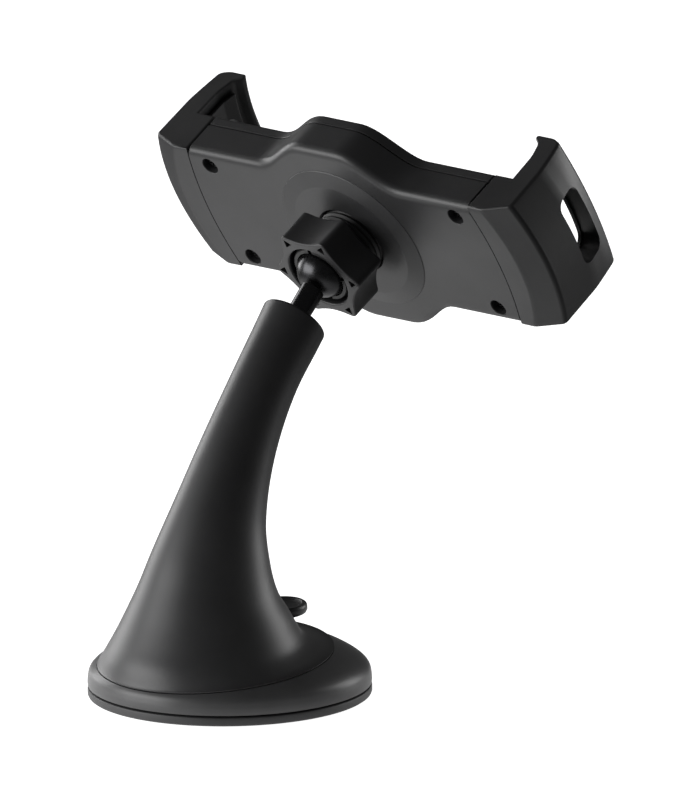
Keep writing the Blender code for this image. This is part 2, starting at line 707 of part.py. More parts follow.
def build():
    root = frame_empty("mount_frame", (0.0, 0.0, 0.0))
    lever_axis = frame_empty("lever_axis", (0.0, 0.0, PIVOT_Z))
    ball = STEM_TOP + Matrix.Rotation(radians(STEM_LEAN), 3, "X") @ Vector((0.0, 0.0, BALL_OUT))
    stud_axis = frame_empty("stud_axis", ball, STEM_LEAN)
    tilt = STEM_LEAN + HEAD_TILT
    back = ball + Matrix.Rotation(radians(tilt), 3, "X") @ Vector((0.0, 0.0, BALL_BEHIND))
    cradle = frame_empty("cradle_axis", back, tilt)
    for piece in (suction_pad, base_ring, cam_plate, release_spring, base_screws, stem):
        piece(root)
    for piece in (plunger, lever_pin, lever):
        piece(lever_axis)
    for piece in (ball_stud, stud_clip):
        piece(stud_axis)
    for piece in (seat_cup, collet_socket, socket_screws, clamp_nut, rear_shell, front_shell, front_pad,
                  shell_screws, pinion, pinion_pin):
        piece(cradle)
    for side in (1, -1):
        jaw_set(cradle, side)


clear_scene()
PARTS = new_collection("phone_mount")
CUTTERS = new_collection("cutters")
build()
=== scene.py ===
import json
from math import acos, cos, exp, log, pi, radians, sin, sqrt

import bmesh
import bpy
from mathutils import Matrix, Vector


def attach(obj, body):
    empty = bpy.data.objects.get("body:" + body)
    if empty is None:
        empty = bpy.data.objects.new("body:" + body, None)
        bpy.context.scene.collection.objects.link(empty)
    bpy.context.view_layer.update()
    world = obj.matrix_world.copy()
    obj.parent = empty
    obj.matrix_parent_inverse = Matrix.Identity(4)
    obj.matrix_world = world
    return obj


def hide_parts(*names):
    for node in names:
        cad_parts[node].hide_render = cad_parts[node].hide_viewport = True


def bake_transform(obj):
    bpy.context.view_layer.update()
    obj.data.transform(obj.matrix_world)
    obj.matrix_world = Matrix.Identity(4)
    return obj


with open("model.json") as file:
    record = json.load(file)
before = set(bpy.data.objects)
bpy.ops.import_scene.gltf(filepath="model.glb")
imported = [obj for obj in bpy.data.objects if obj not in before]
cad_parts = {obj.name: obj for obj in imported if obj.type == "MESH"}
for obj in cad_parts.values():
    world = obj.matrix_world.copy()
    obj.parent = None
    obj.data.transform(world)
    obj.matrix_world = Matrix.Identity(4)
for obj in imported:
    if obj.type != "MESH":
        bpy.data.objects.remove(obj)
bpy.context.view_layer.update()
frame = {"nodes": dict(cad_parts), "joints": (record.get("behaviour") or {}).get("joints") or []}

# Studio
# A camera with a parallel view stands behind the cradle and a little above it. The mount stands on a
# plain floor between a large softbox on its left and two tall soft strips behind it. The floor looks
# evenly white, but lights the mount mostly from close by.
MM = 0.001
AZIMUTH, ELEVATION, ROLL = 222.95, 13.8, 0.79
VIEW_HEIGHT = 210.7 * MM
CAMERA_AWAY = 1.5
AIM = Vector((-11.43, -35.67, 74.6)) * MM
FLOOR_WIDE, FLOOR_DROP = 8.0, 0.3 * MM
# The POOL_ values shape a painted pool of light on the floor round the mount, seen by every ray but the
# camera's.
POOL_CENTRE = (-0.07, -0.05, 0)
POOL_RIM, POOL_CORE = 0.76, 0.93
POOL_GLOW = 0.95
ROOM_LIGHT = 0.08

turn, climb = radians(AZIMUTH), radians(ELEVATION)
behind = Vector((sin(turn) * cos(climb), -cos(turn) * cos(climb), sin(climb)))
lens = bpy.data.cameras.new("studio_camera")
lens.type = "ORTHO"
lens.ortho_scale = VIEW_HEIGHT
lens.clip_end = 20.0
camera = bpy.data.objects.new("studio_camera", lens)
camera.rotation_mode = "QUATERNION"
level = (-behind).to_track_quat("-Z", "Y")
camera.rotation_quaternion = level @ Matrix.Rotation(radians(-ROLL), 3, "Z").to_quaternion()
camera.location = AIM + behind * CAMERA_AWAY
bpy.context.scene.collection.objects.link(camera)
bpy.context.scene.camera = camera
bpy.context.scene.view_settings.view_transform = "Standard"

bpy.ops.object.select_all(action="DESELECT")
bpy.ops.mesh.primitive_plane_add(size=FLOOR_WIDE, location=(0, 0, -FLOOR_DROP))
floor = bpy.context.object
floor.name = "studio_floor"
paper = bpy.data.materials.new("white_paper")
paper.use_nodes = True
nodes, links = paper.node_tree.nodes, paper.node_tree.links
fibre = nodes.new("ShaderNodeTexNoise")
fibre.inputs["Scale"].default_value = 900
tint = nodes.new("ShaderNodeValToRGB")
tint.color_ramp.elements[0].color = (0.96, 0.96, 0.96, 1)
tint.color_ramp.elements[1].color = (1.0, 1.0, 1.0, 1)
# Painted pool of light: for all but camera rays the floor glows and is pale close to the mount, and turns
# grey further out.
round_spot = nodes.new("ShaderNodeTexGradient")
round_spot.gradient_type = "SPHERICAL"
centre = nodes.new("ShaderNodeMapping")
centre.inputs["Location"].default_value = POOL_CENTRE
painted_light_pool = nodes.new("ShaderNodeValToRGB")
painted_light_pool.color_ramp.elements[0].position = POOL_RIM
painted_light_pool.color_ramp.elements[0].color = (0.30, 0.30, 0.30, 1)
painted_light_pool.color_ramp.elements[1].position = POOL_CORE
painted_light_pool.color_ramp.elements[1].color = (0.95, 0.95, 0.95, 1)
glow = nodes.new("ShaderNodeMapRange")
glow.inputs["From Min"].default_value = POOL_RIM
glow.inputs["From Max"].default_value = POOL_CORE
glow.inputs["To Max"].default_value = POOL_GLOW
strength = nodes.new("ShaderNodeMix")
strength.inputs["B"].default_value = 1.0
shade = nodes.new("ShaderNodeMix")
shade.data_type = "RGBA"
seen = nodes.new("ShaderNodeLightPath").outputs["Is Camera Ray"]
links.new(fibre.outputs["Fac"], tint.inputs["Fac"])
links.new(nodes.new("ShaderNodeTexCoord").outputs["Object"], centre.inputs["Vector"])
links.new(centre.outputs["Vector"], round_spot.inputs["Vector"])
links.new(round_spot.outputs["Fac"], glow.inputs["Value"])
links.new(glow.outputs["Result"], strength.inputs["A"])
links.new(seen, strength.inputs["Factor"])
links.new(round_spot.outputs["Fac"], painted_light_pool.inputs["Fac"])
links.new(painted_light_pool.outputs["Color"], shade.inputs["A"])
links.new(tint.outputs["Color"], shade.inputs["B"])
links.new(seen, shade.inputs["Factor"])
links.new(shade.outputs["Result"], nodes["Principled BSDF"].inputs["Base Color"])
links.new(tint.outputs["Color"], nodes["Principled BSDF"].inputs["Emission Color"])
links.new(strength.outputs["Result"], nodes["Principled BSDF"].inputs["Emission Strength"])
nodes["Principled BSDF"].inputs["Roughness"].default_value = 0.9
floor.data.materials.append(paper)

room = bpy.data.worlds.new("studio_room")
room.use_nodes = True
room.node_tree.nodes["Background"].inputs["Color"].default_value = (1.0, 1.0, 1.0, 1)
room.node_tree.nodes["Background"].inputs["Strength"].default_value = ROOM_LIGHT
bpy.context.scene.world = room

across = behind.cross(Vector((0, 0, 1))).normalized() * -1
for name, side, height, towards, width, tall, power in (
    ("left_softbox", -1.0, 0.05, 0.25, 0.9, 0.6, 10.0),
    ("left_strip", -0.75, 0.25, -0.75, 0.5, 1.0, 7.0),
    ("right_strip", 0.9, 0.15, -0.45, 0.45, 1.0, 6.0),
):
    light = bpy.data.lights.new(name, "AREA")
    light.shape = "RECTANGLE"
    light.size, light.size_y = width, tall
    light.energy = power
    lamp = bpy.data.objects.new(name, light)
    lamp.location = AIM + across * side + Vector((0, 0, height)) + behind * towards
    lamp.rotation_mode = "QUATERNION"
    lamp.rotation_quaternion = (lamp.location - AIM).to_track_quat("Z", "Y")
    bpy.context.scene.collection.objects.link(lamp)

# Suction disc
# A soft black rubber disc with a thin flexible rim, moulded round the boss that takes the foot of
# the pull rod. Its underside is slightly hollow and polished, so that it seals on glass.
BASE_R = 37.5
DISC_PROFILE = [
    (3.0, 0.5), (12.0, 0.5), (24.0, 0.42), (30.0, 0.24), (33.0, 0.06), (34.2, 0.0), (36.4, 0.0),
    (36.9, 0.08), (37.3, 0.35), (BASE_R, 0.8), (BASE_R, 2.0), (37.35, 2.35), (37.0, 2.55), (36.4, 2.6),
    (10.2, 2.6), (9.4, 2.75), (9.0, 3.2), (9.0, 5.0), (8.8, 5.2), (3.5, 5.2), (3.4, 5.1), (3.4, 4.2),
    (6.1, 4.2), (6.1, 1.2),
]
RUBBER_BLACK = (0.030, 0.030, 0.031)


def turned(name, profile, sides=128, bored=False):
    """A piece drawn up ring by ring through (radius, height) points. It is closed by its first and
    last ring, or, if it is bored, by joining the last ring to the first."""
    bpy.ops.object.select_all(action="DESELECT")
    radius, height = profile[0]
    fill = "NOTHING" if bored else "NGON"
    bpy.ops.mesh.primitive_circle_add(vertices=sides, radius=radius * MM, fill_type=fill,
                                      location=(0, 0, height * MM))
    piece = bpy.context.object
    piece.name = piece.data.name = name
    bpy.ops.object.transform_apply(location=True, rotation=True, scale=True)
    bpy.ops.object.mode_set(mode="EDIT")
    bpy.ops.mesh.select_mode(type="EDGE" if bored else "FACE")
    bpy.ops.mesh.select_all(action="SELECT")
    path = profile + [profile[0]] if bored else profile
    for (r, z), (next_r, next_z) in zip(path, path[1:]):
        rise = {"value": (0, 0, (next_z - z) * MM)}
        if bored:
            bpy.ops.mesh.extrude_edges_move(TRANSFORM_OT_translate=rise)
        else:
            bpy.ops.mesh.extrude_region_move(TRANSFORM_OT_translate=rise)
        bpy.ops.transform.resize(value=(next_r / r, next_r / r, 1), center_override=(0, 0, 0))
    bpy.ops.mesh.select_all(action="SELECT")
    bpy.ops.mesh.remove_doubles(threshold=0.001 * MM)
    bpy.ops.mesh.normals_make_consistent(inside=False)
    bpy.ops.object.mode_set(mode="OBJECT")
    return piece


def settle(piece, place):
    """Put a piece where it belongs and leave its object at the origin."""
    bpy.ops.object.select_all(action="DESELECT")
    piece.select_set(True)
    bpy.context.view_layer.objects.active = piece
    piece.matrix_world = place @ piece.matrix_world
    bpy.ops.object.transform_apply(location=True, rotation=True, scale=True)


def polish(piece, material, angle=32):
    """Give a piece its material and smooth shading, broken at the edges sharper than angle and with
    the flats kept flat."""
    piece.data.materials.clear()
    piece.data.materials.append(material)
    bpy.ops.object.select_all(action="DESELECT")
    piece.select_set(True)
    bpy.context.view_layer.objects.active = piece
    bpy.ops.object.shade_smooth_by_angle(angle=radians(angle))
    piece.modifiers.new("even_flats", "WEIGHTED_NORMAL").keep_sharp = True
    bpy.ops.object.modifier_apply(modifier="even_flats")


def moulded(name, colour, roughness, grain, relief, mottle=0.25):
    """A moulded finish: a fine grain in the surface, with faint broad changes of tone and gloss."""
    made = bpy.data.materials.new(name)
    made.use_nodes = True
    nodes, links = made.node_tree.nodes, made.node_tree.links
    shader = nodes["Principled BSDF"]
    place = nodes.new("ShaderNodeTexCoord").outputs["Object"]
    broad = nodes.new("ShaderNodeTexNoise")
    broad.inputs["Scale"].default_value = 45
    broad.inputs["Detail"].default_value = 4
    tone = nodes.new("ShaderNodeValToRGB")
    tone.color_ramp.elements[0].position = 0.3
    tone.color_ramp.elements[1].position = 0.7
    tone.color_ramp.elements[0].color = (*[c * (1 - mottle) for c in colour], 1)
    tone.color_ramp.elements[1].color = (*[c * (1 + mottle) for c in colour], 1)
    gloss = nodes.new("ShaderNodeMapRange")
    gloss.inputs["To Min"].default_value = roughness - 0.05
    gloss.inputs["To Max"].default_value = roughness + 0.05
    fine = nodes.new("ShaderNodeTexNoise")
    fine.inputs["Scale"].default_value = grain
    fine.inputs["Detail"].default_value = 3
    bump = nodes.new("ShaderNodeBump")
    bump.inputs["Strength"].default_value = relief
    bump.inputs["Distance"].default_value = 0.05 * MM
    for texture in (broad, fine):
        links.new(place, texture.inputs["Vector"])
    links.new(broad.outputs["Fac"], tone.inputs["Fac"])
    links.new(tone.outputs["Color"], shader.inputs["Base Color"])
    links.new(fine.outputs["Fac"], gloss.inputs["Value"])
    links.new(gloss.outputs["Result"], shader.inputs["Roughness"])
    links.new(fine.outputs["Fac"], bump.inputs["Height"])
    links.new(bump.outputs["Normal"], shader.inputs["Normal"])
    return made


suction_rubber = moulded("suction_rubber", RUBBER_BLACK, 0.55, 2600, 0.25)
suction_disc = turned("suction_disc", DISC_PROFILE, 160)
polish(suction_disc, suction_rubber)
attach(suction_disc, "root")
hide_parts("suction_pad")

# Base ring
# A domed ring of satin ABS over the disc, injection moulded, with a leaning round seat that takes
# the stem's foot. A thin shadow gap parts it from the rubber. It is screwed up into the stem.
DOME_LOW, DOME_TOP, DOME_RINGS = 3.6, 15.4, 28
DOME = [
    (20.0, DOME_TOP), (26.0, 13.8), (28.8, 12.7), (32.4, 10.9), (35.3, 9.0), (36.9, 7.3), (37.42, 5.2),
    (BASE_R, DOME_LOW),
]
ROD_HOLE_R, CAM_RECESS_R = 3.6, 12.3
RING_UNDERSIDE = [
    (37.4, 3.05), (37.1, 2.9), (34.5, 2.9), (34.5, 4.8), (24.0, 6.8), (12.0, 8.6), (ROD_HOLE_R, 8.8),
]
SEAT_Y, SEAT_Z, SEAT_R, SEAT_TILT, SEAT_GAP = 5.4, 11.0, 31.4, -5.7, 0.5
RING_BLACK = (0.048, 0.048, 0.049)


def smooth_row(rows, height):
    """The row of a table at a height, on a smooth curve through its rows, which start with theirs."""
    k = max(i for i in range(len(rows) - 1) if height >= rows[i][0] - 1e-9)
    low, high = rows[k], rows[k + 1]
    span = high[0] - low[0]
    t = (height - low[0]) / span
    made = []
    for column in range(1, len(low)):
        slopes = []
        for i in (k, k + 1):
            before, after = rows[max(i - 1, 0)], rows[min(i + 1, len(rows) - 1)]
            slopes.append((after[column] - before[column]) / (after[0] - before[0]))
        rise = (2 * t ** 3 - 3 * t ** 2 + 1) * low[column] + (3 * t ** 2 - 2 * t ** 3) * high[column]
        bend = (t ** 3 - 2 * t ** 2 + t) * slopes[0] + (t ** 3 - t ** 2) * slopes[1]
        made.append(rise + span * bend)
    return made


def carve(piece, *tools, operation="DIFFERENCE"):
    """Cut tools from a piece, or join them to it, one by one, and clear the tools away."""
    bpy.ops.object.select_all(action="DESELECT")
    piece.select_set(True)
    bpy.context.view_layer.objects.active = piece
    for tool in tools:
        step = piece.modifiers.new("carve", "BOOLEAN")
        step.operation = operation
        step.solver = "MANIFOLD"
        step.object = tool
        bpy.ops.object.modifier_apply(modifier="carve")
        bpy.data.objects.remove(tool, do_unlink=True)


rising = [(z, r) for r, z in reversed(DOME)]
dome_z = [DOME_LOW + (DOME_TOP - DOME_LOW) * i / DOME_RINGS for i in range(DOME_RINGS + 1)]
dome_skin = [(smooth_row(rising, z)[0], z) for z in dome_z]
ring_profile = list(reversed(RING_UNDERSIDE)) + dome_skin + [(ROD_HOLE_R, DOME_TOP)]
base_dome = turned("base_dome", ring_profile, 160, bored=True)
seat_mouth = [(SEAT_R - 0.3, -0.3), (SEAT_R + SEAT_GAP, SEAT_GAP), (SEAT_R + SEAT_GAP, 20.0)]
stem_seat = turned("stem_seat", seat_mouth, 160)
leaning = Matrix.Rotation(radians(SEAT_TILT), 4, "X")
settle(stem_seat, Matrix.Translation((0, SEAT_Y * MM, SEAT_Z * MM)) @ leaning)
cam_recess = turned("cam_recess", [(CAM_RECESS_R, 10.0), (CAM_RECESS_R, 20.0)], 96)
carve(base_dome, stem_seat, cam_recess)
ring_plastic = moulded("ring_plastic", RING_BLACK, 0.4, 3200, 0.10)
polish(base_dome, ring_plastic)
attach(base_dome, "root")
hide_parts("base_ring")

# Pull mechanism
# Inside the foot a turned steel rod is pulled up by the lever's cams, which bear on a pressed steel
# washer; a short coil pushes the rubber down again. Zinc-plated screws hold the ring to the stem.
ZINC = (0.56, 0.56, 0.55)


def metal(name, colour, roughness, scratch_scale=900):
    """Bare or blacked metal with fine machining marks and slightly uneven gloss."""
    made = bpy.data.materials.new(name)
    made.use_nodes = True
    nodes, links = made.node_tree.nodes, made.node_tree.links
    shader = nodes["Principled BSDF"]
    shader.inputs["Metallic"].default_value = 1.0
    place = nodes.new("ShaderNodeTexCoord").outputs["Object"]
    marks = nodes.new("ShaderNodeTexNoise")
    marks.inputs["Scale"].default_value = scratch_scale
    marks.inputs["Detail"].default_value = 6
    tone = nodes.new("ShaderNodeValToRGB")
    tone.color_ramp.elements[0].color = (*[c * 0.8 for c in colour], 1)
    tone.color_ramp.elements[1].color = (*[c * 1.15 for c in colour], 1)
    gloss = nodes.new("ShaderNodeMapRange")
    gloss.inputs["To Min"].default_value = roughness - 0.06
    gloss.inputs["To Max"].default_value = roughness + 0.08
    bump = nodes.new("ShaderNodeBump")
    bump.inputs["Strength"].default_value = 0.12
    bump.inputs["Distance"].default_value = 0.03 * MM
    links.new(place, marks.inputs["Vector"])
    links.new(marks.outputs["Fac"], tone.inputs["Fac"])
    links.new(tone.outputs["Color"], shader.inputs["Base Color"])
    links.new(marks.outputs["Fac"], gloss.inputs["Value"])
    links.new(gloss.outputs["Result"], shader.inputs["Roughness"])
    links.new(marks.outputs["Fac"], bump.inputs["Height"])
    links.new(bump.outputs["Normal"], shader.inputs["Normal"])
    return made


def repaint(material, *names):
    """Give pieces that keep their plain shape a better finish."""
    for name in names:
        mesh = frame["nodes"][name].data
        mesh.materials.clear()
        mesh.materials.append(material)


zinc_steel = metal("zinc_steel", ZINC, 0.3)
repaint(zinc_steel, "cam_plate", "plunger", "lever_pin", "release_spring")
repaint(zinc_steel, "base_screw_1", "base_screw_2", "base_screw_3")

# Stem
# A hollow horn of black ABS, round in section, that flares into its foot and leans forward as it
# rises. Its wall is even, and a slot low on its front lets the lever out. The stud's bore is on top.
STEM_ROWS = [
    (SEAT_Z, SEAT_Y, SEAT_R, SEAT_TILT), (15.0, 8.8, 26.6, -3.5), (19.0, 8.7, 24.1, -1.5),
    (24.0, 8.3, 21.5, 1.0), (30.0, 7.9, 18.5, 6.0), (38.0, 6.5, 15.8, 12.0), (50.0, 2.9, 12.5, 20.0),
    (66.0, -4.7, 10.0, 29.5), (82.0, -15.1, 8.8, 38.5), (96.55, -27.28, 9.05, 46.7),
]
STEM_WALL = 2.5
RIM_ROUND = 0.9
FOOT_ROUND = 0.5
BORE_R, BORE_DEEP, BORE_EDGE = 3.25, 5.0, 0.35
SKIN_RINGS, HOLLOW_RINGS, HOLLOW_TOP = 48, 30, 86.0
SLOT_HALF, SLOT_LOW, SLOT_HIGH = 5.4, 16.4, 30.5
SLOT_Y, SLOT_DEEP, SLOT_ROUND = -22.0, 36.0, 2.0
PLASTIC_BLACK = (0.024, 0.024, 0.025)


def horn(name, rings):
    """A round skin through rings of (height, offset in Y, radius, lean), closed at both ends."""
    bpy.ops.object.select_all(action="DESELECT")
    z, y, radius, lean = rings[0]
    bpy.ops.mesh.primitive_circle_add(vertices=128, radius=radius * MM, fill_type="NGON",
                                      location=(0, y * MM, z * MM), rotation=(radians(lean), 0, 0))
    piece = bpy.context.object
    piece.name = piece.data.name = name
    bpy.ops.object.transform_apply(location=True, rotation=True, scale=True)
    bpy.ops.object.mode_set(mode="EDIT")
    bpy.ops.mesh.select_all(action="SELECT")
    for (z, y, radius, lean), (next_z, next_y, next_radius, next_lean) in zip(rings, rings[1:]):
        move = (0, (next_y - y) * MM, (next_z - z) * MM)
        grow = next_radius / radius
        centre = (0, next_y * MM, next_z * MM)
        bpy.ops.mesh.extrude_region_move(TRANSFORM_OT_translate={"value": move})
        bpy.ops.transform.resize(value=(grow, grow, grow), center_override=centre)
        bpy.ops.transform.rotate(value=radians(lean - next_lean), orient_axis="X", center_override=centre)
    bpy.ops.mesh.select_all(action="SELECT")
    bpy.ops.mesh.normals_make_consistent(inside=False)
    bpy.ops.object.mode_set(mode="OBJECT")
    return piece


def along(ring, step, radius):
    """The ring that lies a step further along the lean of this one, at another radius."""
    z, y, _, lean = ring
    return z + step * cos(radians(lean)), y - step * sin(radians(lean)), radius, lean


def block(centre, size):
    """A plain block, to be shaped further or to cut with."""
    bpy.ops.object.select_all(action="DESELECT")
    bpy.ops.mesh.primitive_cube_add(size=1, location=[c * MM for c in centre], scale=[w * MM for w in size])
    piece = bpy.context.object
    bpy.ops.object.transform_apply(location=True, rotation=True, scale=True)
    return piece


def round_along(piece, axis, width, segments):
    """Round the edges of a straight bar that run along an axis, 0 to 2 for X to Z."""
    bpy.ops.object.mode_set(mode="EDIT")
    bpy.ops.mesh.select_mode(type="EDGE")
    bpy.ops.mesh.select_all(action="DESELECT")
    shape = bmesh.from_edit_mesh(piece.data)
    for edge in shape.edges:
        run = edge.verts[0].co - edge.verts[1].co
        edge.select_set(abs(run[axis]) > 0.9 * run.length)
    bpy.ops.mesh.bevel(offset=width * MM, segments=segments, affect="EDGES")
    bpy.ops.object.mode_set(mode="OBJECT")


foot_z, top_z = STEM_ROWS[0][0], STEM_ROWS[-1][0]
skin_z = [foot_z + (top_z - foot_z) * (i / SKIN_RINGS) ** 1.25 for i in range(1, SKIN_RINGS - 1)]
skin = [(z, *smooth_row(STEM_ROWS, z)) for z in skin_z]
foot, top = STEM_ROWS[0], STEM_ROWS[-1]
rounds = [i * pi / 10 for i in range(6)]
foot_rings = [
    along(foot, FOOT_ROUND * (1 - cos(a)), foot[2] - FOOT_ROUND * (1 - sin(a))) for a in rounds
]
rim_rings = [along(top, RIM_ROUND * (sin(a) - 1), top[2] - RIM_ROUND * (1 - cos(a))) for a in rounds]
bore_rings = [
    along(top, 0.0, BORE_R + BORE_EDGE), along(top, -BORE_EDGE, BORE_R), along(top, -BORE_DEEP, BORE_R),
]
stem_horn = horn("stem_horn", foot_rings + skin + rim_rings + bore_rings)
hollow = []
for i in range(HOLLOW_RINGS + 1):
    z = foot_z + (HOLLOW_TOP - foot_z) * i / HOLLOW_RINGS
    y, radius, lean = smooth_row(STEM_ROWS, z)
    hollow.append((z, y, radius - STEM_WALL, lean))
stem_hollow = horn("stem_hollow", [along(hollow[0], -3.0, hollow[0][2])] + hollow)
slot_size = (2 * SLOT_HALF, SLOT_DEEP, SLOT_HIGH - SLOT_LOW)
lever_slot = block((0, SLOT_Y, (SLOT_LOW + SLOT_HIGH) / 2), slot_size)
round_along(lever_slot, 1, SLOT_ROUND, 6)
carve(stem_horn, stem_hollow, lever_slot)
black_plastic = moulded("black_plastic", PLASTIC_BLACK, 0.42, 3600, 0.14)
polish(stem_horn, black_plastic)
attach(stem_horn, "root")
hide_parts("stem")

# Lever
# A thumb lever of satin ABS. Two cams straddle the steel pin and carry an arm that comes out of the
# stem's slot and ends in a round tab, dished for the thumb and rounded at its rim.
joints = {joint["name"]: joint for joint in frame["joints"]}
PIVOT = Vector(joints["lever_hinge"]["pos_m"])
TAB_Y, TAB_R, LEVER_THICK = -20.1, 7.0, 2.8
CAM_UPPER_R, CAM_LOWER_R, CAM_DROP = 3.6, 3.3, 2.9
ARM_LEAN, ARM_LIFT = 6.0, 2.4
ARM_Y, ARM_SIZE, ARM_ROUND = -9.9, (9.6, 11.0, 2.6), 0.5
TAB_LEAN, TAB_LIFT = -9.0, 1.3
CHEEK_AT, CHEEK_THICK, CHEEK_EDGE, PIN_HOLE_R = 5.0, 3.2, 0.3, 1.8
LUG_Y, LUG_Z, LUG_LONG, LUG_TALL = -5.0, 1.6, 7.0, 2.8
SHIELD_START, SHIELD_END, SHIELD_STEPS = 130, 176, 12
SHIELD_R, SHIELD_THICK, SHIELD_HALF = 10.4, 1.2, 5.0
SATIN_BLACK = (0.014, 0.014, 0.015)


def arc(centre, radius, start, end, steps):
    """Points of (radius, height) on an arc, from start to end in degrees."""
    angles = [radians(start + (end - start) * i / steps) for i in range(steps + 1)]
    return [(centre[0] + radius * cos(a), centre[1] + radius * sin(a)) for a in angles]


half_thick = LEVER_THICK / 2
tab_profile = [
    (TAB_R - 0.9, -half_thick), (TAB_R - 0.35, 0.25 - half_thick), (TAB_R, -0.5), (TAB_R, 0.6),
    (TAB_R - 0.25, 1.1), (TAB_R - 0.7, half_thick), (TAB_R - 1.3, half_thick - 0.05),
    (TAB_R - 1.8, half_thick - 0.45), (TAB_R - 2.8, half_thick - 0.8), (TAB_R - 4.4, half_thick - 0.95),
    (1.0, half_thick - 1.0),
]
thumb_lever = turned("thumb_lever", tab_profile, 96)
tab_tilt = Matrix.Rotation(radians(TAB_LEAN), 4, "X")
settle(thumb_lever, Matrix.Translation((0, TAB_Y * MM, TAB_LIFT * MM)) @ tab_tilt)
arm = block((0, ARM_Y, 0), ARM_SIZE)
bpy.ops.object.modifier_add(type="BEVEL")
arm.modifiers["Bevel"].width = ARM_ROUND * MM
arm.modifiers["Bevel"].segments = 3
bpy.ops.object.modifier_apply(modifier="Bevel")
carve(thumb_lever, arm, operation="UNION")
settle(thumb_lever, Matrix.Translation((0, 0, ARM_LIFT * MM)) @ Matrix.Rotation(radians(ARM_LEAN), 4, "X"))
cams = []
half_cheek = CHEEK_THICK / 2
cheek_profile = [
    (CAM_UPPER_R - CHEEK_EDGE, -half_cheek), (CAM_UPPER_R, CHEEK_EDGE - half_cheek),
    (CAM_UPPER_R, half_cheek - CHEEK_EDGE), (CAM_UPPER_R - CHEEK_EDGE, half_cheek),
]
for x in (-CHEEK_AT, CHEEK_AT):
    cheek = turned("cam_cheek", cheek_profile, 64)
    bpy.ops.object.mode_set(mode="EDIT")
    bpy.ops.mesh.select_mode(type="VERT")
    bpy.ops.mesh.select_all(action="DESELECT")
    shape = bmesh.from_edit_mesh(cheek.data)
    for vert in shape.verts:
        vert.select_set(vert.co.x > 0.001 * MM)
    bpy.ops.transform.translate(value=(CAM_DROP * MM, 0, 0))
    slim = CAM_LOWER_R / CAM_UPPER_R
    bpy.ops.transform.resize(value=(slim, slim, 1), center_override=(CAM_DROP * MM, 0, 0))
    bpy.ops.object.mode_set(mode="OBJECT")
    settle(cheek, Matrix.Translation((x * MM, 0, 0)) @ Matrix.Rotation(pi / 2, 4, "Y"))
    cams.append(cheek)
    cams.append(block((x, LUG_Y, LUG_Z), (CHEEK_THICK, LUG_LONG, LUG_TALL)))
carve(thumb_lever, *cams, operation="UNION")
shield_points = arc((0, 0), SHIELD_R, SHIELD_START, SHIELD_END, SHIELD_STEPS)
bpy.ops.object.select_all(action="DESELECT")
y, z = shield_points[0]
bpy.ops.mesh.primitive_plane_add(size=1, location=(0, y * MM, z * MM),
                                 rotation=(radians(SHIELD_START), 0, 0))
shield = bpy.context.object
shield.scale = (2 * SHIELD_HALF * MM, SHIELD_THICK * MM, 1)
bpy.ops.object.transform_apply(location=True, rotation=True, scale=True)
bpy.ops.object.mode_set(mode="EDIT")
bpy.ops.mesh.select_all(action="SELECT")
shield_step = radians(SHIELD_END - SHIELD_START) / SHIELD_STEPS
for (y, z), (next_y, next_z) in zip(shield_points, shield_points[1:]):
    move = (0, (next_y - y) * MM, (next_z - z) * MM)
    bpy.ops.mesh.extrude_region_move(TRANSFORM_OT_translate={"value": move})
    centre = (0, next_y * MM, next_z * MM)
    bpy.ops.transform.rotate(value=-shield_step, orient_axis="X", center_override=centre)
bpy.ops.mesh.select_all(action="SELECT")
bpy.ops.mesh.normals_make_consistent(inside=False)
bpy.ops.object.mode_set(mode="OBJECT")
carve(thumb_lever, shield, operation="UNION")
pin_hole = turned("pin_hole", [(PIN_HOLE_R, -9.0), (PIN_HOLE_R, 9.0)], 48)
settle(pin_hole, Matrix.Rotation(pi / 2, 4, "Y"))
carve(thumb_lever, pin_hole)
settle(thumb_lever, Matrix.Translation(PIVOT))
satin_plastic = moulded("satin_plastic", SATIN_BLACK, 0.4, 3200, 0.10)
polish(thumb_lever, satin_plastic)
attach(thumb_lever, "lever")
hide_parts("lever")

# Ball stud
# A steel ball and neck turned in one and blacked, held in the stem's top by a spring clip. The ball
# is polished where the socket grips it.
BALL = Vector(joints["ball_tilt"]["pos_m"])
BALL_R, NECK_R = 7.4, 2.9
BALL_OUT, STEM_PLUG, CLIP_GROOVE_R = 16.0, 8.0, 1.9
BLACKED = (0.045, 0.045, 0.047)


def facing(origin, axis):
    """A place whose X is the world's and whose Z points along axis."""
    z = Vector(axis).normalized()
    x = Vector((1, 0, 0))
    y = z.cross(x)
    return Matrix.Translation(origin) @ Matrix((x, y, z)).transposed().to_4x4()


stud_place = facing(BALL, joints["ball_swivel"]["axis"])
neck_top = -(BALL_OUT + STEM_PLUG)
neck_angle = acos(NECK_R / BALL_R) * 180 / pi
neck = [
    (NECK_R - 0.3, neck_top - 3.5), (NECK_R, neck_top - 3.2), (NECK_R, neck_top - 1.7),
    (CLIP_GROOVE_R, neck_top - 1.7), (CLIP_GROOVE_R, neck_top - 0.3), (NECK_R, neck_top - 0.3),
]
stud_profile = neck + arc((0, 0), BALL_R, -neck_angle + 3, 89, 30)
black_stud = turned("black_stud", stud_profile, 96)
settle(black_stud, stud_place)
blacked_steel = metal("blacked_steel", BLACKED, 0.26)
polish(black_stud, blacked_steel)
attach(black_stud, "ball_stud")
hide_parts("ball_stud")
repaint(zinc_steel, "stud_clip")

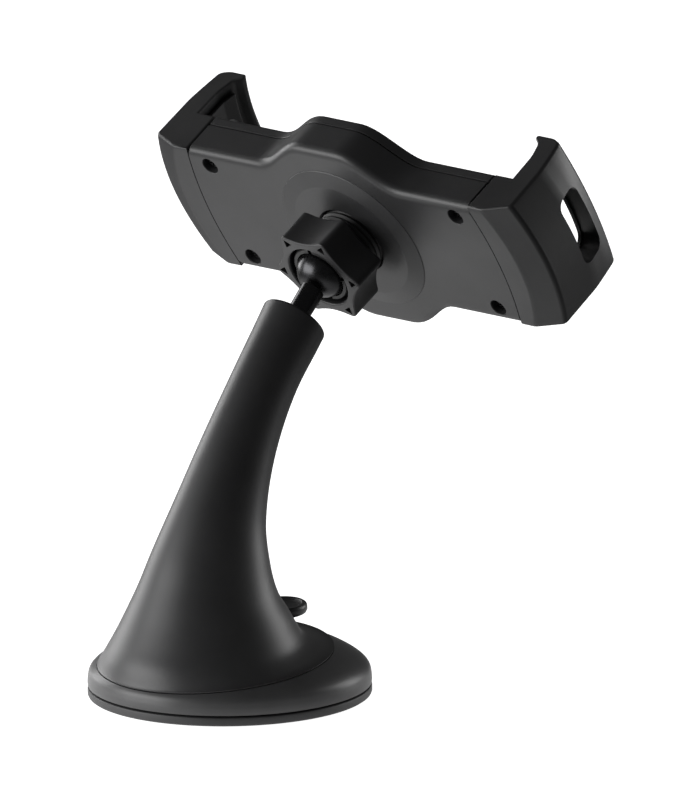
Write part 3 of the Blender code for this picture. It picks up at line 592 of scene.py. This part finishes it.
# Collet socket
# A threaded socket of black acetal, split into four sprung fingers that close on the ball as the nut
# draws over them. A nylon cup seats the ball, and the flange is screwed down inside the cradle.
BALL_BEHIND = 13.3
THREAD_R, SOCKET_BORE, FLANGE_R = 9.7, 7.95, 17.0
THREAD_PITCH, THREAD_DEEP = 1.5, 0.45
FINGER_RIM, SLIT = -15.4, 1.2
# The socket's black is set darker than the other plastics: its own black plus painted shade on the thread
# between the nut and the boss.
SOCKET_BLACK_WITH_PAINTED_SHADE = (0.010, 0.010, 0.010)
NYLON = (0.70, 0.69, 0.65)
roll_axis = Vector(joints["cradle_roll"]["axis"])
cradle_place = facing(BALL + roll_axis * BALL_BEHIND * MM, roll_axis)
grip = BALL_R + 0.3
rim_angle = -acos(sqrt(grip ** 2 - (FINGER_RIM + BALL_BEHIND) ** 2) / grip) * 180 / pi
socket_profile = [(SOCKET_BORE, 1.5), (SOCKET_BORE, 0.2 - BALL_BEHIND)]
socket_profile += [(r, z) for r, z in reversed(arc((0, -BALL_BEHIND), grip, rim_angle, 0, 8))]
socket_profile += [(7.75, FINGER_RIM), (8.3, FINGER_RIM), (8.65, FINGER_RIM + 0.3), (8.9, FINGER_RIM + 1.0)]
socket_profile += [(THREAD_R - THREAD_DEEP, -12.8)]
crest = -12.4
while crest < 1.2:
    socket_profile += [(THREAD_R, crest + 0.2), (THREAD_R, crest + 0.45)]
    socket_profile += [(THREAD_R - THREAD_DEEP, crest + 0.85), (THREAD_R - THREAD_DEEP, crest + 1.05)]
    crest += THREAD_PITCH
socket_profile += [(THREAD_R, 2.3), (FLANGE_R, 2.3), (FLANGE_R, 3.8), (SOCKET_BORE, 3.8)]
grip_socket = turned("grip_socket", socket_profile, 128, bored=True)
carve(grip_socket, block((0, 0, -12), (24, SLIT, 10)), block((0, 0, -12), (SLIT, 24, 10)))
settle(grip_socket, cradle_place)
acetal = moulded("acetal", SOCKET_BLACK_WITH_PAINTED_SHADE, 0.5, 2500, 0.08)
polish(grip_socket, acetal)
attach(grip_socket, "cradle")
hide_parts("collet_socket")
nylon = moulded("nylon", NYLON, 0.42, 1500, 0.10, mottle=0.04)
repaint(nylon, "seat_cup")
repaint(zinc_steel, *[f"socket_screw_{number}" for number in range(1, 5)])

# Clamp nut
# A hand nut of black ABS with six lobes and hollowed sides. Its back is flat with a small cored
# pocket behind each lobe, and its threaded bore has a rounded mouth round the ball.
NUT_BACK, NUT_FRONT = -16.4, -5.9
NUT_R, EDGE_ROUND = 14.45, 0.5
SCALLOP_AT, SCALLOP_R = 29.35, 17.73
LOBE_SOFT = 0.35
MOUTH_R, MOUTH_ROUND = 9.4, 0.6
POCKET_AT, POCKET_R, POCKET_ROUND = 12.1, 1.55, 0.3
NUT_SIDES = 240


def scalloped(angle):
    """The nut's radius at an angle from the middle of a side: a hollow arc that runs out softly
    into the round of the lobe."""
    hollow = SCALLOP_AT * cos(angle) - sqrt(SCALLOP_R ** 2 - (SCALLOP_AT * sin(angle)) ** 2)
    return -LOBE_SOFT * log(exp(-hollow / LOBE_SOFT) + exp(-NUT_R / LOBE_SOFT))


nut_profile = arc((NUT_R - EDGE_ROUND, NUT_BACK + EDGE_ROUND), EDGE_ROUND, -90, 0, 4)
nut_profile += arc((NUT_R - EDGE_ROUND, NUT_FRONT - EDGE_ROUND), EDGE_ROUND, 0, 90, 4)
nut_profile += [
    (THREAD_R + 0.9, NUT_FRONT), (THREAD_R + 0.3, NUT_FRONT - 0.6), (THREAD_R + 0.3, -13.3),
    (THREAD_R, -14.6), (MOUTH_R, -15.2),
]
nut_profile += arc((MOUTH_R + MOUTH_ROUND, NUT_BACK + MOUTH_ROUND), MOUTH_ROUND, 180, 270, 4)
hand_nut = turned("hand_nut", nut_profile, NUT_SIDES, bored=True)
bpy.ops.object.mode_set(mode="EDIT")
bpy.ops.mesh.select_mode(type="VERT")
for step in range(NUT_SIDES // 6):
    angle = 2 * pi * step / NUT_SIDES
    slimmer = scalloped(angle - pi / 6) / NUT_R
    bpy.ops.mesh.select_all(action="DESELECT")
    shape = bmesh.from_edit_mesh(hand_nut.data)
    for vert in shape.verts:
        turned_by = (Vector((0, 1)).angle_signed(vert.co.xy) - angle) % (pi / 3)
        if vert.co.xy.length > 12 * MM and min(turned_by, pi / 3 - turned_by) < 0.001:
            vert.select_set(True)
    bpy.ops.transform.resize(value=(slimmer, slimmer, 1), center_override=(0, 0, 0))
bpy.ops.object.mode_set(mode="OBJECT")
settle(hand_nut, Matrix.Rotation(pi / 6, 4, "Z"))
pockets = []
for corner in range(6):
    bpy.ops.object.select_all(action="DESELECT")
    bpy.ops.mesh.primitive_cylinder_add(vertices=3, radius=POCKET_R * MM, depth=5 * MM,
                                        rotation=(0, 0, radians(-90)))
    pocket = bpy.context.object
    bpy.ops.object.transform_apply(location=True, rotation=True, scale=True)
    round_along(pocket, 2, POCKET_ROUND, 3)
    outward = Matrix.Translation((POCKET_AT * MM, 0, NUT_BACK * MM))
    settle(pocket, Matrix.Rotation(pi / 3 * corner, 4, "Z") @ outward)
    pockets.append(pocket)
carve(hand_nut, *pockets)
settle(hand_nut, cradle_place)
polish(hand_nut, black_plastic)
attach(hand_nut, "nut")
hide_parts("clamp_nut")

# Rear shell
# The back half of the cradle: a thin-walled tray of black ABS with rounded edges that sweep up to a
# hump in the middle. A low coned boss carries the socket, and four deep recesses take the screws.
HALF_HEIGHT, HUMP_HEIGHT = 20.8, 30.1
HUMP_FLAT, HUMP_END = 6.5, 26.0
LEVEL_END, COLUMNS, ROWS = 45.0, 52, 12
SWEEP_END = 47.0
SEAM_X, SEAM_BOW, SEAM_GAP = 52.5, 2.5, 0.3
WALL, PART_LINE, FRONT_FACE = 2.0, 10.0, 13.5
BACK_ROUND, LINE_ROUND = 2.4, 0.25
BOSS = [(22.9, 1.0), (22.9, -0.05), (22.75, -0.2), (18.4, -1.2), (18.0, -1.3), (THREAD_R + 1, -1.3)]
SCREW_PLACES = [(-44, -16), (-44, 16), (44, -16), (44, 16)]
RECESS_R, RECESS_DEEP, SCREW_HOLE_R, TOWER_R = 2.4, 2.4, 1.5, 3.4
NECK_HOLE_R = THREAD_R + 0.4
OPENING_AT, OPENING_SIZE = (53, 4.75, 6.7), (14, 16.5, 5.0)


def edge_height(x):
    """Half height of the cradle at x: level ends that sweep up to the hump."""
    share = min(max((abs(x) - HUMP_FLAT) / (HUMP_END - HUMP_FLAT), 0.0), 1.0)
    return HALF_HEIGHT + (HUMP_HEIGHT - HALF_HEIGHT) * (1 + cos(pi * share)) / 2


def cradle_plate(name, height, inset=0.0):
    """A sheet in the cradle's outline: a grid whose columns are stretched to the sweep, drawn out
    to ends that are bowed."""
    bpy.ops.object.select_all(action="DESELECT")
    end = SEAM_X - SEAM_GAP / 2 - inset
    level_end = LEVEL_END - inset / 2
    bpy.ops.mesh.primitive_grid_add(x_subdivisions=COLUMNS, y_subdivisions=ROWS, size=2, location=(0, 0, 0))
    piece = bpy.context.object
    piece.name = piece.data.name = name
    piece.scale = (level_end * MM, MM, 1)
    piece.location = (0, 0, height * MM)
    bpy.ops.object.transform_apply(location=True, rotation=True, scale=True)
    bpy.ops.object.mode_set(mode="EDIT")
    for column in range(COLUMNS + 1):
        x = (2 * column / COLUMNS - 1) * level_end
        bpy.ops.mesh.select_mode(type="VERT")
        bpy.ops.mesh.select_all(action="DESELECT")
        shape = bmesh.from_edit_mesh(piece.data)
        for vert in shape.verts:
            if abs(vert.co.x - x * MM) < 0.01 * MM:
                vert.select_set(True)
        bpy.ops.transform.resize(value=(1, edge_height(x) - inset, 1), center_override=(0, 0, 0))
        if abs(x) > level_end - 0.01:
            bpy.ops.mesh.select_mode(type="EDGE")
            bpy.ops.mesh.select_all(action="DESELECT")
            shape = bmesh.from_edit_mesh(piece.data)
            for edge in shape.edges:
                edge.select_set(all(abs(v.co.x - x * MM) < 0.01 * MM for v in edge.verts))
            step = (end - level_end) * MM
            move = (step if x > 0 else -step, 0, 0)
            bpy.ops.mesh.extrude_edges_move(TRANSFORM_OT_translate={"value": move})
    bpy.ops.mesh.select_mode(type="VERT")
    for row in range(ROWS + 1):
        share = 2 * row / ROWS - 1
        for side in (-1, 1):
            bpy.ops.mesh.select_all(action="DESELECT")
            shape = bmesh.from_edit_mesh(piece.data)
            for vert in shape.verts:
                at_end = abs(vert.co.x - side * end * MM) < 0.01 * MM
                if at_end and abs(vert.co.y - share * (HALF_HEIGHT - inset) * MM) < 0.01 * MM:
                    vert.select_set(True)
            bpy.ops.transform.translate(value=(-side * SEAM_BOW * share ** 2 * MM, 0, 0))
    bpy.ops.object.mode_set(mode="OBJECT")
    return piece


def raise_block(piece, top, outer=0.0, line=0.0):
    """Draw a plate up into a block, round the long edges of its own face by outer and ease its far
    rim by line."""
    bottom = piece.data.vertices[0].co.z
    bpy.ops.object.mode_set(mode="EDIT")
    bpy.ops.mesh.select_mode(type="FACE")
    bpy.ops.mesh.select_all(action="SELECT")
    bpy.ops.mesh.extrude_region_move(TRANSFORM_OT_translate={"value": (0, 0, top * MM - bottom)})
    bpy.ops.mesh.select_all(action="SELECT")
    bpy.ops.mesh.normals_make_consistent(inside=False)
    bpy.ops.mesh.select_mode(type="EDGE")
    for level, width, segments in ((bottom, outer, 6), (top * MM, line, 2)):
        bpy.ops.mesh.select_all(action="DESELECT")
        shape = bmesh.from_edit_mesh(piece.data)
        for edge in shape.edges:
            here = all(abs(v.co.z - level) < 0.01 * MM for v in edge.verts)
            run = edge.verts[0].co - edge.verts[1].co
            short_of_end = abs(edge.verts[0].co.x + edge.verts[1].co.x) < 2 * SWEEP_END * MM
            sweep = short_of_end or abs(run.x) > abs(run.y)
            if here and edge.calc_face_angle(0) > radians(60) and (sweep or level != bottom):
                edge.select_set(True)
        if width:
            bpy.ops.mesh.bevel(offset=width * MM, segments=segments, affect="EDGES", clamp_overlap=False)
    bpy.ops.object.mode_set(mode="OBJECT")


rear_tray = cradle_plate("rear_tray", 0.0)
raise_block(rear_tray, PART_LINE, BACK_ROUND, LINE_ROUND)
tray_inside = cradle_plate("tray_inside", WALL, WALL)
raise_block(tray_inside, PART_LINE + 1)
carve(rear_tray, tray_inside)
tower_profile = [(TOWER_R, 1.0), (TOWER_R, 9.4), (TOWER_R - 0.2, 9.7)]
recess_profile = [
    (RECESS_R + 1.1, -0.9), (RECESS_R + 0.1, 0.1), (RECESS_R, 0.35), (RECESS_R, RECESS_DEEP),
    (SCREW_HOLE_R, RECESS_DEEP), (SCREW_HOLE_R, 12.0),
]
towers, recesses = [], []
for x, y in SCREW_PLACES:
    tower, recess = turned("screw_tower", tower_profile, 48), turned("screw_recess", recess_profile, 64)
    for made, group in ((tower, towers), (recess, recesses)):
        settle(made, Matrix.Translation((x * MM, y * MM, 0)))
        group.append(made)
boss = turned("socket_boss", list(reversed(BOSS)), 160)
carve(rear_tray, boss, *towers, operation="UNION")
hole_profile = [
    (NECK_HOLE_R + 0.4, -3.0), (NECK_HOLE_R + 0.4, -1.3), (NECK_HOLE_R, -0.9), (NECK_HOLE_R, 4.0),
]
neck_hole = turned("neck_hole", hole_profile, 128)
x, y, z = OPENING_AT
arm_openings = [block((x, y, z), OPENING_SIZE), block((-x, -y, z), OPENING_SIZE)]
carve(rear_tray, neck_hole, *recesses, *arm_openings)
settle(rear_tray, cradle_place)
polish(rear_tray, black_plastic)
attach(rear_tray, "cradle")
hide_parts("rear_shell")

# Shell screws
# Four blacked self-tapping screws with cross recesses, sunk in the back and driven into the front.
HEAD_R, HEAD_LOW, HEAD_TOP, SHANK_R = 2.1, 1.4, 2.1, 1.2
BLADE_LONG, BLADE_WIDE = 2.3, 0.55
for number, (x, y) in enumerate(SCREW_PLACES, 1):
    head = [(HEAD_R - 0.7, HEAD_LOW), (HEAD_R - 0.25, HEAD_LOW + 0.12), (HEAD_R, HEAD_LOW + 0.45),
            (HEAD_R, HEAD_TOP), (SHANK_R, HEAD_TOP), (SHANK_R, 11.4), (0.5, 12.0)]
    screw = turned(f"black_screw_{number}", head, 48)
    blades = []
    for long, wide in ((BLADE_LONG, BLADE_WIDE), (BLADE_WIDE, BLADE_LONG)):
        bpy.ops.object.select_all(action="DESELECT")
        bpy.ops.mesh.primitive_cone_add(vertices=4, radius1=0.7071 * MM, radius2=0.4 * MM, depth=1.6 * MM,
                                        location=(0, 0, (HEAD_LOW + 0.3) * MM),
                                        rotation=(0, 0, radians(45)))
        blade = bpy.context.object
        bpy.ops.object.transform_apply(location=True, rotation=True, scale=True)
        blade.scale = (long, wide, 1)
        bpy.ops.object.transform_apply(location=True, rotation=True, scale=True)
        blades.append(blade)
    carve(screw, *blades)
    settle(screw, cradle_place @ Matrix.Translation((x * MM, y * MM, 0)))
    polish(screw, blacked_steel)
    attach(screw, "cradle")
    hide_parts(f"shell_screw_{number}")

# Rack and pinion
# A nylon pinion on a steel pin meshes with the two nylon racks, so both jaws move alike. A steel
# extension spring on either side pulls its jaw in, hooked over a post and over the rack's plate.
SPRING_START, SPRING_END, SPRING_TURNS = 25.0, 49.0, 12
SPRING_R, WIRE_R, SPRING_Z = 1.7, 0.32, 6.3
SPRING_POST, SPRING_HOOK = 22.0, 53.3
HOOK_LAP, WIRE_SIDES = 0.6, 10
repaint(nylon, "pinion", "left_rack", "right_rack")
repaint(zinc_steel, "pinion_pin")
repaint(zinc_steel, *[f"{hand}_rack_screw_{number}" for hand in ("left", "right") for number in (1, 2)])
for hand, turn_back in (("left", 0.0), ("right", pi)):
    bpy.ops.object.select_all(action="DESELECT")
    bpy.ops.mesh.primitive_circle_add(vertices=WIRE_SIDES, radius=WIRE_R * MM,
                                      location=(SPRING_START * MM, 0, SPRING_R * MM),
                                      rotation=(pi / 2, 0, 0))
    coil = bpy.context.object
    coil.name = coil.data.name = hand + "_coil"
    bpy.ops.object.transform_apply(location=True, rotation=True, scale=True)
    bpy.ops.object.modifier_add(type="SCREW")
    winding = coil.modifiers["Screw"]
    winding.axis = "X"
    winding.screw_offset = (SPRING_END - SPRING_START) / SPRING_TURNS * MM
    winding.iterations = SPRING_TURNS
    winding.steps = winding.render_steps = 20
    bpy.ops.object.modifier_apply(modifier="Screw")
    bpy.ops.object.mode_set(mode="EDIT")
    bpy.ops.mesh.select_all(action="SELECT")
    bpy.ops.mesh.fill_holes(sides=0)
    bpy.ops.mesh.normals_make_consistent(inside=False)
    bpy.ops.object.mode_set(mode="OBJECT")
    for inner, outer in ((SPRING_POST, SPRING_START + HOOK_LAP), (SPRING_END - HOOK_LAP, SPRING_HOOK)):
        bpy.ops.object.select_all(action="DESELECT")
        middle, long = (outer + inner) / 2, outer - inner
        bpy.ops.mesh.primitive_cylinder_add(vertices=WIRE_SIDES, radius=WIRE_R * MM, depth=long * MM,
                                            location=(middle * MM, 0, 0), rotation=(0, pi / 2, 0))
        bpy.ops.object.transform_apply(location=True, rotation=True, scale=True)
        coil.select_set(True)
        bpy.context.view_layer.objects.active = coil
        bpy.ops.object.join()
    place = cradle_place @ Matrix.Rotation(turn_back, 4, "Z") @ Matrix.Translation((0, 0, SPRING_Z * MM))
    settle(coil, place)
    polish(coil, zinc_steel)
    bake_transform(coil)
    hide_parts(hand + "_spring")

# Front shell and its pad
# The front half closes the tray like a lid, with a thin parting line between the two. A ribbed pad of
# soft rubber is glued into its face for the phone's back to rest on.
PAD_INSET, PAD_LOW, PAD_TOP, RIB_LOW = 4.0, 13.8, 14.6, 14.2
RIB_REACH, RIB_MARGIN = 44.0, 2.5
FRONT_ROUND, PARTING_GAP = 1.0, 0.3
PAD_BLACK = (0.034, 0.034, 0.035)
front_lid = cradle_plate("front_lid", FRONT_FACE)
raise_block(front_lid, PART_LINE + PARTING_GAP, FRONT_ROUND, LINE_ROUND)
lid_inside = cradle_plate("lid_inside", FRONT_FACE - WALL, WALL)
raise_block(lid_inside, PART_LINE - 1)
carve(front_lid, lid_inside)
settle(front_lid, cradle_place)
polish(front_lid, black_plastic)
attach(front_lid, "cradle")
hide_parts("front_shell")

rest_pad = cradle_plate("rest_pad", PAD_LOW, PAD_INSET)
bpy.ops.object.mode_set(mode="EDIT")
bpy.ops.mesh.select_mode(type="FACE")
bpy.ops.mesh.select_all(action="SELECT")
bpy.ops.mesh.extrude_region_move(TRANSFORM_OT_translate={"value": (0, 0, (RIB_LOW - PAD_LOW) * MM)})
bpy.ops.mesh.select_all(action="DESELECT")
shape = bmesh.from_edit_mesh(rest_pad.data)
pad_level = LEVEL_END - PAD_INSET / 2
column_wide = 2 * pad_level / COLUMNS
for face in shape.faces:
    middle = face.calc_center_median()
    column = int((middle.x / MM + pad_level) // column_wide)
    rib_end = (edge_height(middle.x / MM) - PAD_INSET - RIB_MARGIN) * MM
    on_rib = column % 2 == 0 and abs(middle.x) < RIB_REACH * MM and abs(middle.y) < rib_end
    if face.normal.z > 0.9 and middle.z > (RIB_LOW - 0.1) * MM and on_rib:
        face.select_set(True)
bpy.ops.mesh.extrude_region_move(TRANSFORM_OT_translate={"value": (0, 0, (PAD_TOP - RIB_LOW) * MM)})
bpy.ops.mesh.select_all(action="SELECT")
bpy.ops.mesh.normals_make_consistent(inside=False)
bpy.ops.object.mode_set(mode="OBJECT")
bpy.ops.object.modifier_add(type="BEVEL")
rest_pad.modifiers["Bevel"].width = 0.15 * MM
rest_pad.modifiers["Bevel"].segments = 2
bpy.ops.object.modifier_apply(modifier="Bevel")
settle(rest_pad, cradle_place)
soft_rubber = moulded("soft_rubber", PAD_BLACK, 0.62, 2400, 0.3)
polish(rest_pad, soft_rubber)
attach(rest_pad, "cradle")
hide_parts("front_pad")

# Jaws and their pads
# Each end jaw is a thick-walled moulding that carries on the cradle's lines, chamfered at the back and
# hooked inward at its lip, with a rounded window through its wall. A soft pad lines its inner face.
JAW_HALF = 20.9
JAW_SECTION = [
    (52.65, 0.0, 2.5), (60.0, 0.0, 5.0), (67.4, 3.2, 3.9), (66.9, 17.8, 3.9), (65.2, 24.3, 3.3),
    (62.9, 28.8, 1.9), (60.5, 30.0, 2.5), (56.2, 30.0, 3.9), (55.9, 28.7, 3.9), (58.4, 26.8, 3.9),
    (59.8, 22.0, 3.9), (60.0, 13.5, 3.9), (52.65, 13.5, 2.5),
]
JAW_ROUNDS = {1: 0.8, 2: 1.1, 3: 1.6, 4: 1.6, 5: 1.2, 6: 1.0, 7: 0.6, 8: 0.6, 9: 0.9, 10: 1.2}
PAD_SECTION = [
    (59.7, 14.2, 3.9), (59.5, 22.0, 3.9), (58.3, 26.1, 3.9), (57.2, 25.7, 3.9), (58.4, 21.8, 3.9),
    (58.6, 14.2, 3.9),
]
PAD_HALF, PAD_ROUND, JAW_END_ROUND = 17.0, 0.3, 0.9
WINDOW = (10.8, 15.5, 24.8)
PAD_WINDOW = (10.4, 15.9, 24.4)
WINDOW_CORNER = 3.0
RACK_POCKET_AT, RACK_POCKET = (53.7, 0, 7.65), (17.4, 26, 6.7)
STATIONS = 20


def bowed_bar(name, section, half, rounds_at, end_round):
    """A bar with a section of (x, height, bow) points that runs along Y, bowed in at its ends, its
    long edges rounded by the widths that rounds_at gives and its end edges by end_round."""
    bpy.ops.object.select_all(action="DESELECT")
    bpy.ops.mesh.primitive_circle_add(vertices=len(section), radius=5 * MM, fill_type="NGON")
    piece = bpy.context.object
    piece.name = piece.data.name = name
    bpy.ops.object.mode_set(mode="EDIT")
    shape = bmesh.from_edit_mesh(piece.data)
    shape.verts.ensure_lookup_table()
    tag = shape.verts.layers.int.new("corner")
    for i, corner in enumerate(section):
        shape.verts[i].co = (corner[0] * MM, -half * MM, corner[1] * MM)
        shape.verts[i][tag] = i
    bmesh.update_edit_mesh(piece.data)
    bpy.ops.mesh.select_all(action="SELECT")
    for _ in range(STATIONS):
        bpy.ops.mesh.extrude_region_move(TRANSFORM_OT_translate={"value": (0, 2 * half / STATIONS * MM, 0)})
    shape = bmesh.from_edit_mesh(piece.data)
    tag = shape.verts.layers.int["corner"]
    for vert in shape.verts:
        bow = section[vert[tag]][2]
        vert.co.x -= bow * (vert.co.y / (JAW_HALF * MM)) ** 2 * MM
    bmesh.update_edit_mesh(piece.data)
    bpy.ops.mesh.select_all(action="SELECT")
    bpy.ops.mesh.normals_make_consistent(inside=False)
    bpy.ops.mesh.select_mode(type="EDGE")
    for width in sorted(set(rounds_at.values())):
        bpy.ops.mesh.select_all(action="DESELECT")
        shape = bmesh.from_edit_mesh(piece.data)
        for edge in shape.edges:
            a, b = edge.verts
            gaps = []
            for x, z, bow in section:
                bowed_x = (x - bow * (a.co.y / MM / JAW_HALF) ** 2) * MM
                gaps.append(abs(z * MM - a.co.z) + abs(bowed_x - a.co.x))
            on_corner = min(gaps) < 0.01 * MM and rounds_at.get(gaps.index(min(gaps))) == width
            if on_corner and abs(a.co.z - b.co.z) < 0.01 * MM and abs(a.co.y - b.co.y) > 0.5 * MM:
                edge.select_set(True)
        bpy.ops.mesh.bevel(offset=width * MM, segments=4, affect="EDGES", clamp_overlap=False)
    bpy.ops.mesh.select_all(action="DESELECT")
    shape = bmesh.from_edit_mesh(piece.data)
    for edge in shape.edges:
        at_end = all(abs(abs(v.co.y) - half * MM) < 0.01 * MM for v in edge.verts)
        if at_end and edge.calc_face_angle(0) > radians(40):
            edge.select_set(True)
    bpy.ops.mesh.bevel(offset=end_round * MM, segments=3, affect="EDGES", clamp_overlap=True)
    bpy.ops.mesh.select_all(action="SELECT")
    bpy.ops.mesh.normals_make_consistent(inside=False)
    bpy.ops.object.mode_set(mode="OBJECT")
    return piece


def window_tool(half, low, high):
    """A rounded bar along X that cuts a window through a jaw."""
    tool = block((62, 0, (low + high) / 2), (30, 2 * half, high - low))
    round_along(tool, 0, WINDOW_CORNER, 10)
    return tool


jaw = bowed_bar("left_end_jaw", JAW_SECTION, JAW_HALF, JAW_ROUNDS, JAW_END_ROUND)
carve(jaw, block(RACK_POCKET_AT, RACK_POCKET), window_tool(*WINDOW))
pad_rounds = {corner: PAD_ROUND for corner in range(len(PAD_SECTION))}
jaw_pad = bowed_bar("left_grip_pad", PAD_SECTION, PAD_HALF, pad_rounds, PAD_ROUND)
carve(jaw_pad, window_tool(*PAD_WINDOW))
for piece, finish, slot, name in (
    (jaw, black_plastic, "black_plastic", "jaw"),
    (jaw_pad, soft_rubber, "rubber", "jaw_pad"),
):
    bpy.ops.object.select_all(action="DESELECT")
    piece.select_set(True)
    bpy.context.view_layer.objects.active = piece
    bpy.ops.object.duplicate()
    other = bpy.context.object
    other.name = other.data.name = piece.name.replace("left", "right")
    settle(other, cradle_place @ Matrix.Rotation(pi, 4, "Z"))
    settle(piece, cradle_place)
    for made, hand in ((piece, "left"), (other, "right")):
        polish(made, finish)
        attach(made, hand + "_jaw")
        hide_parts(f"{hand}_{name}")
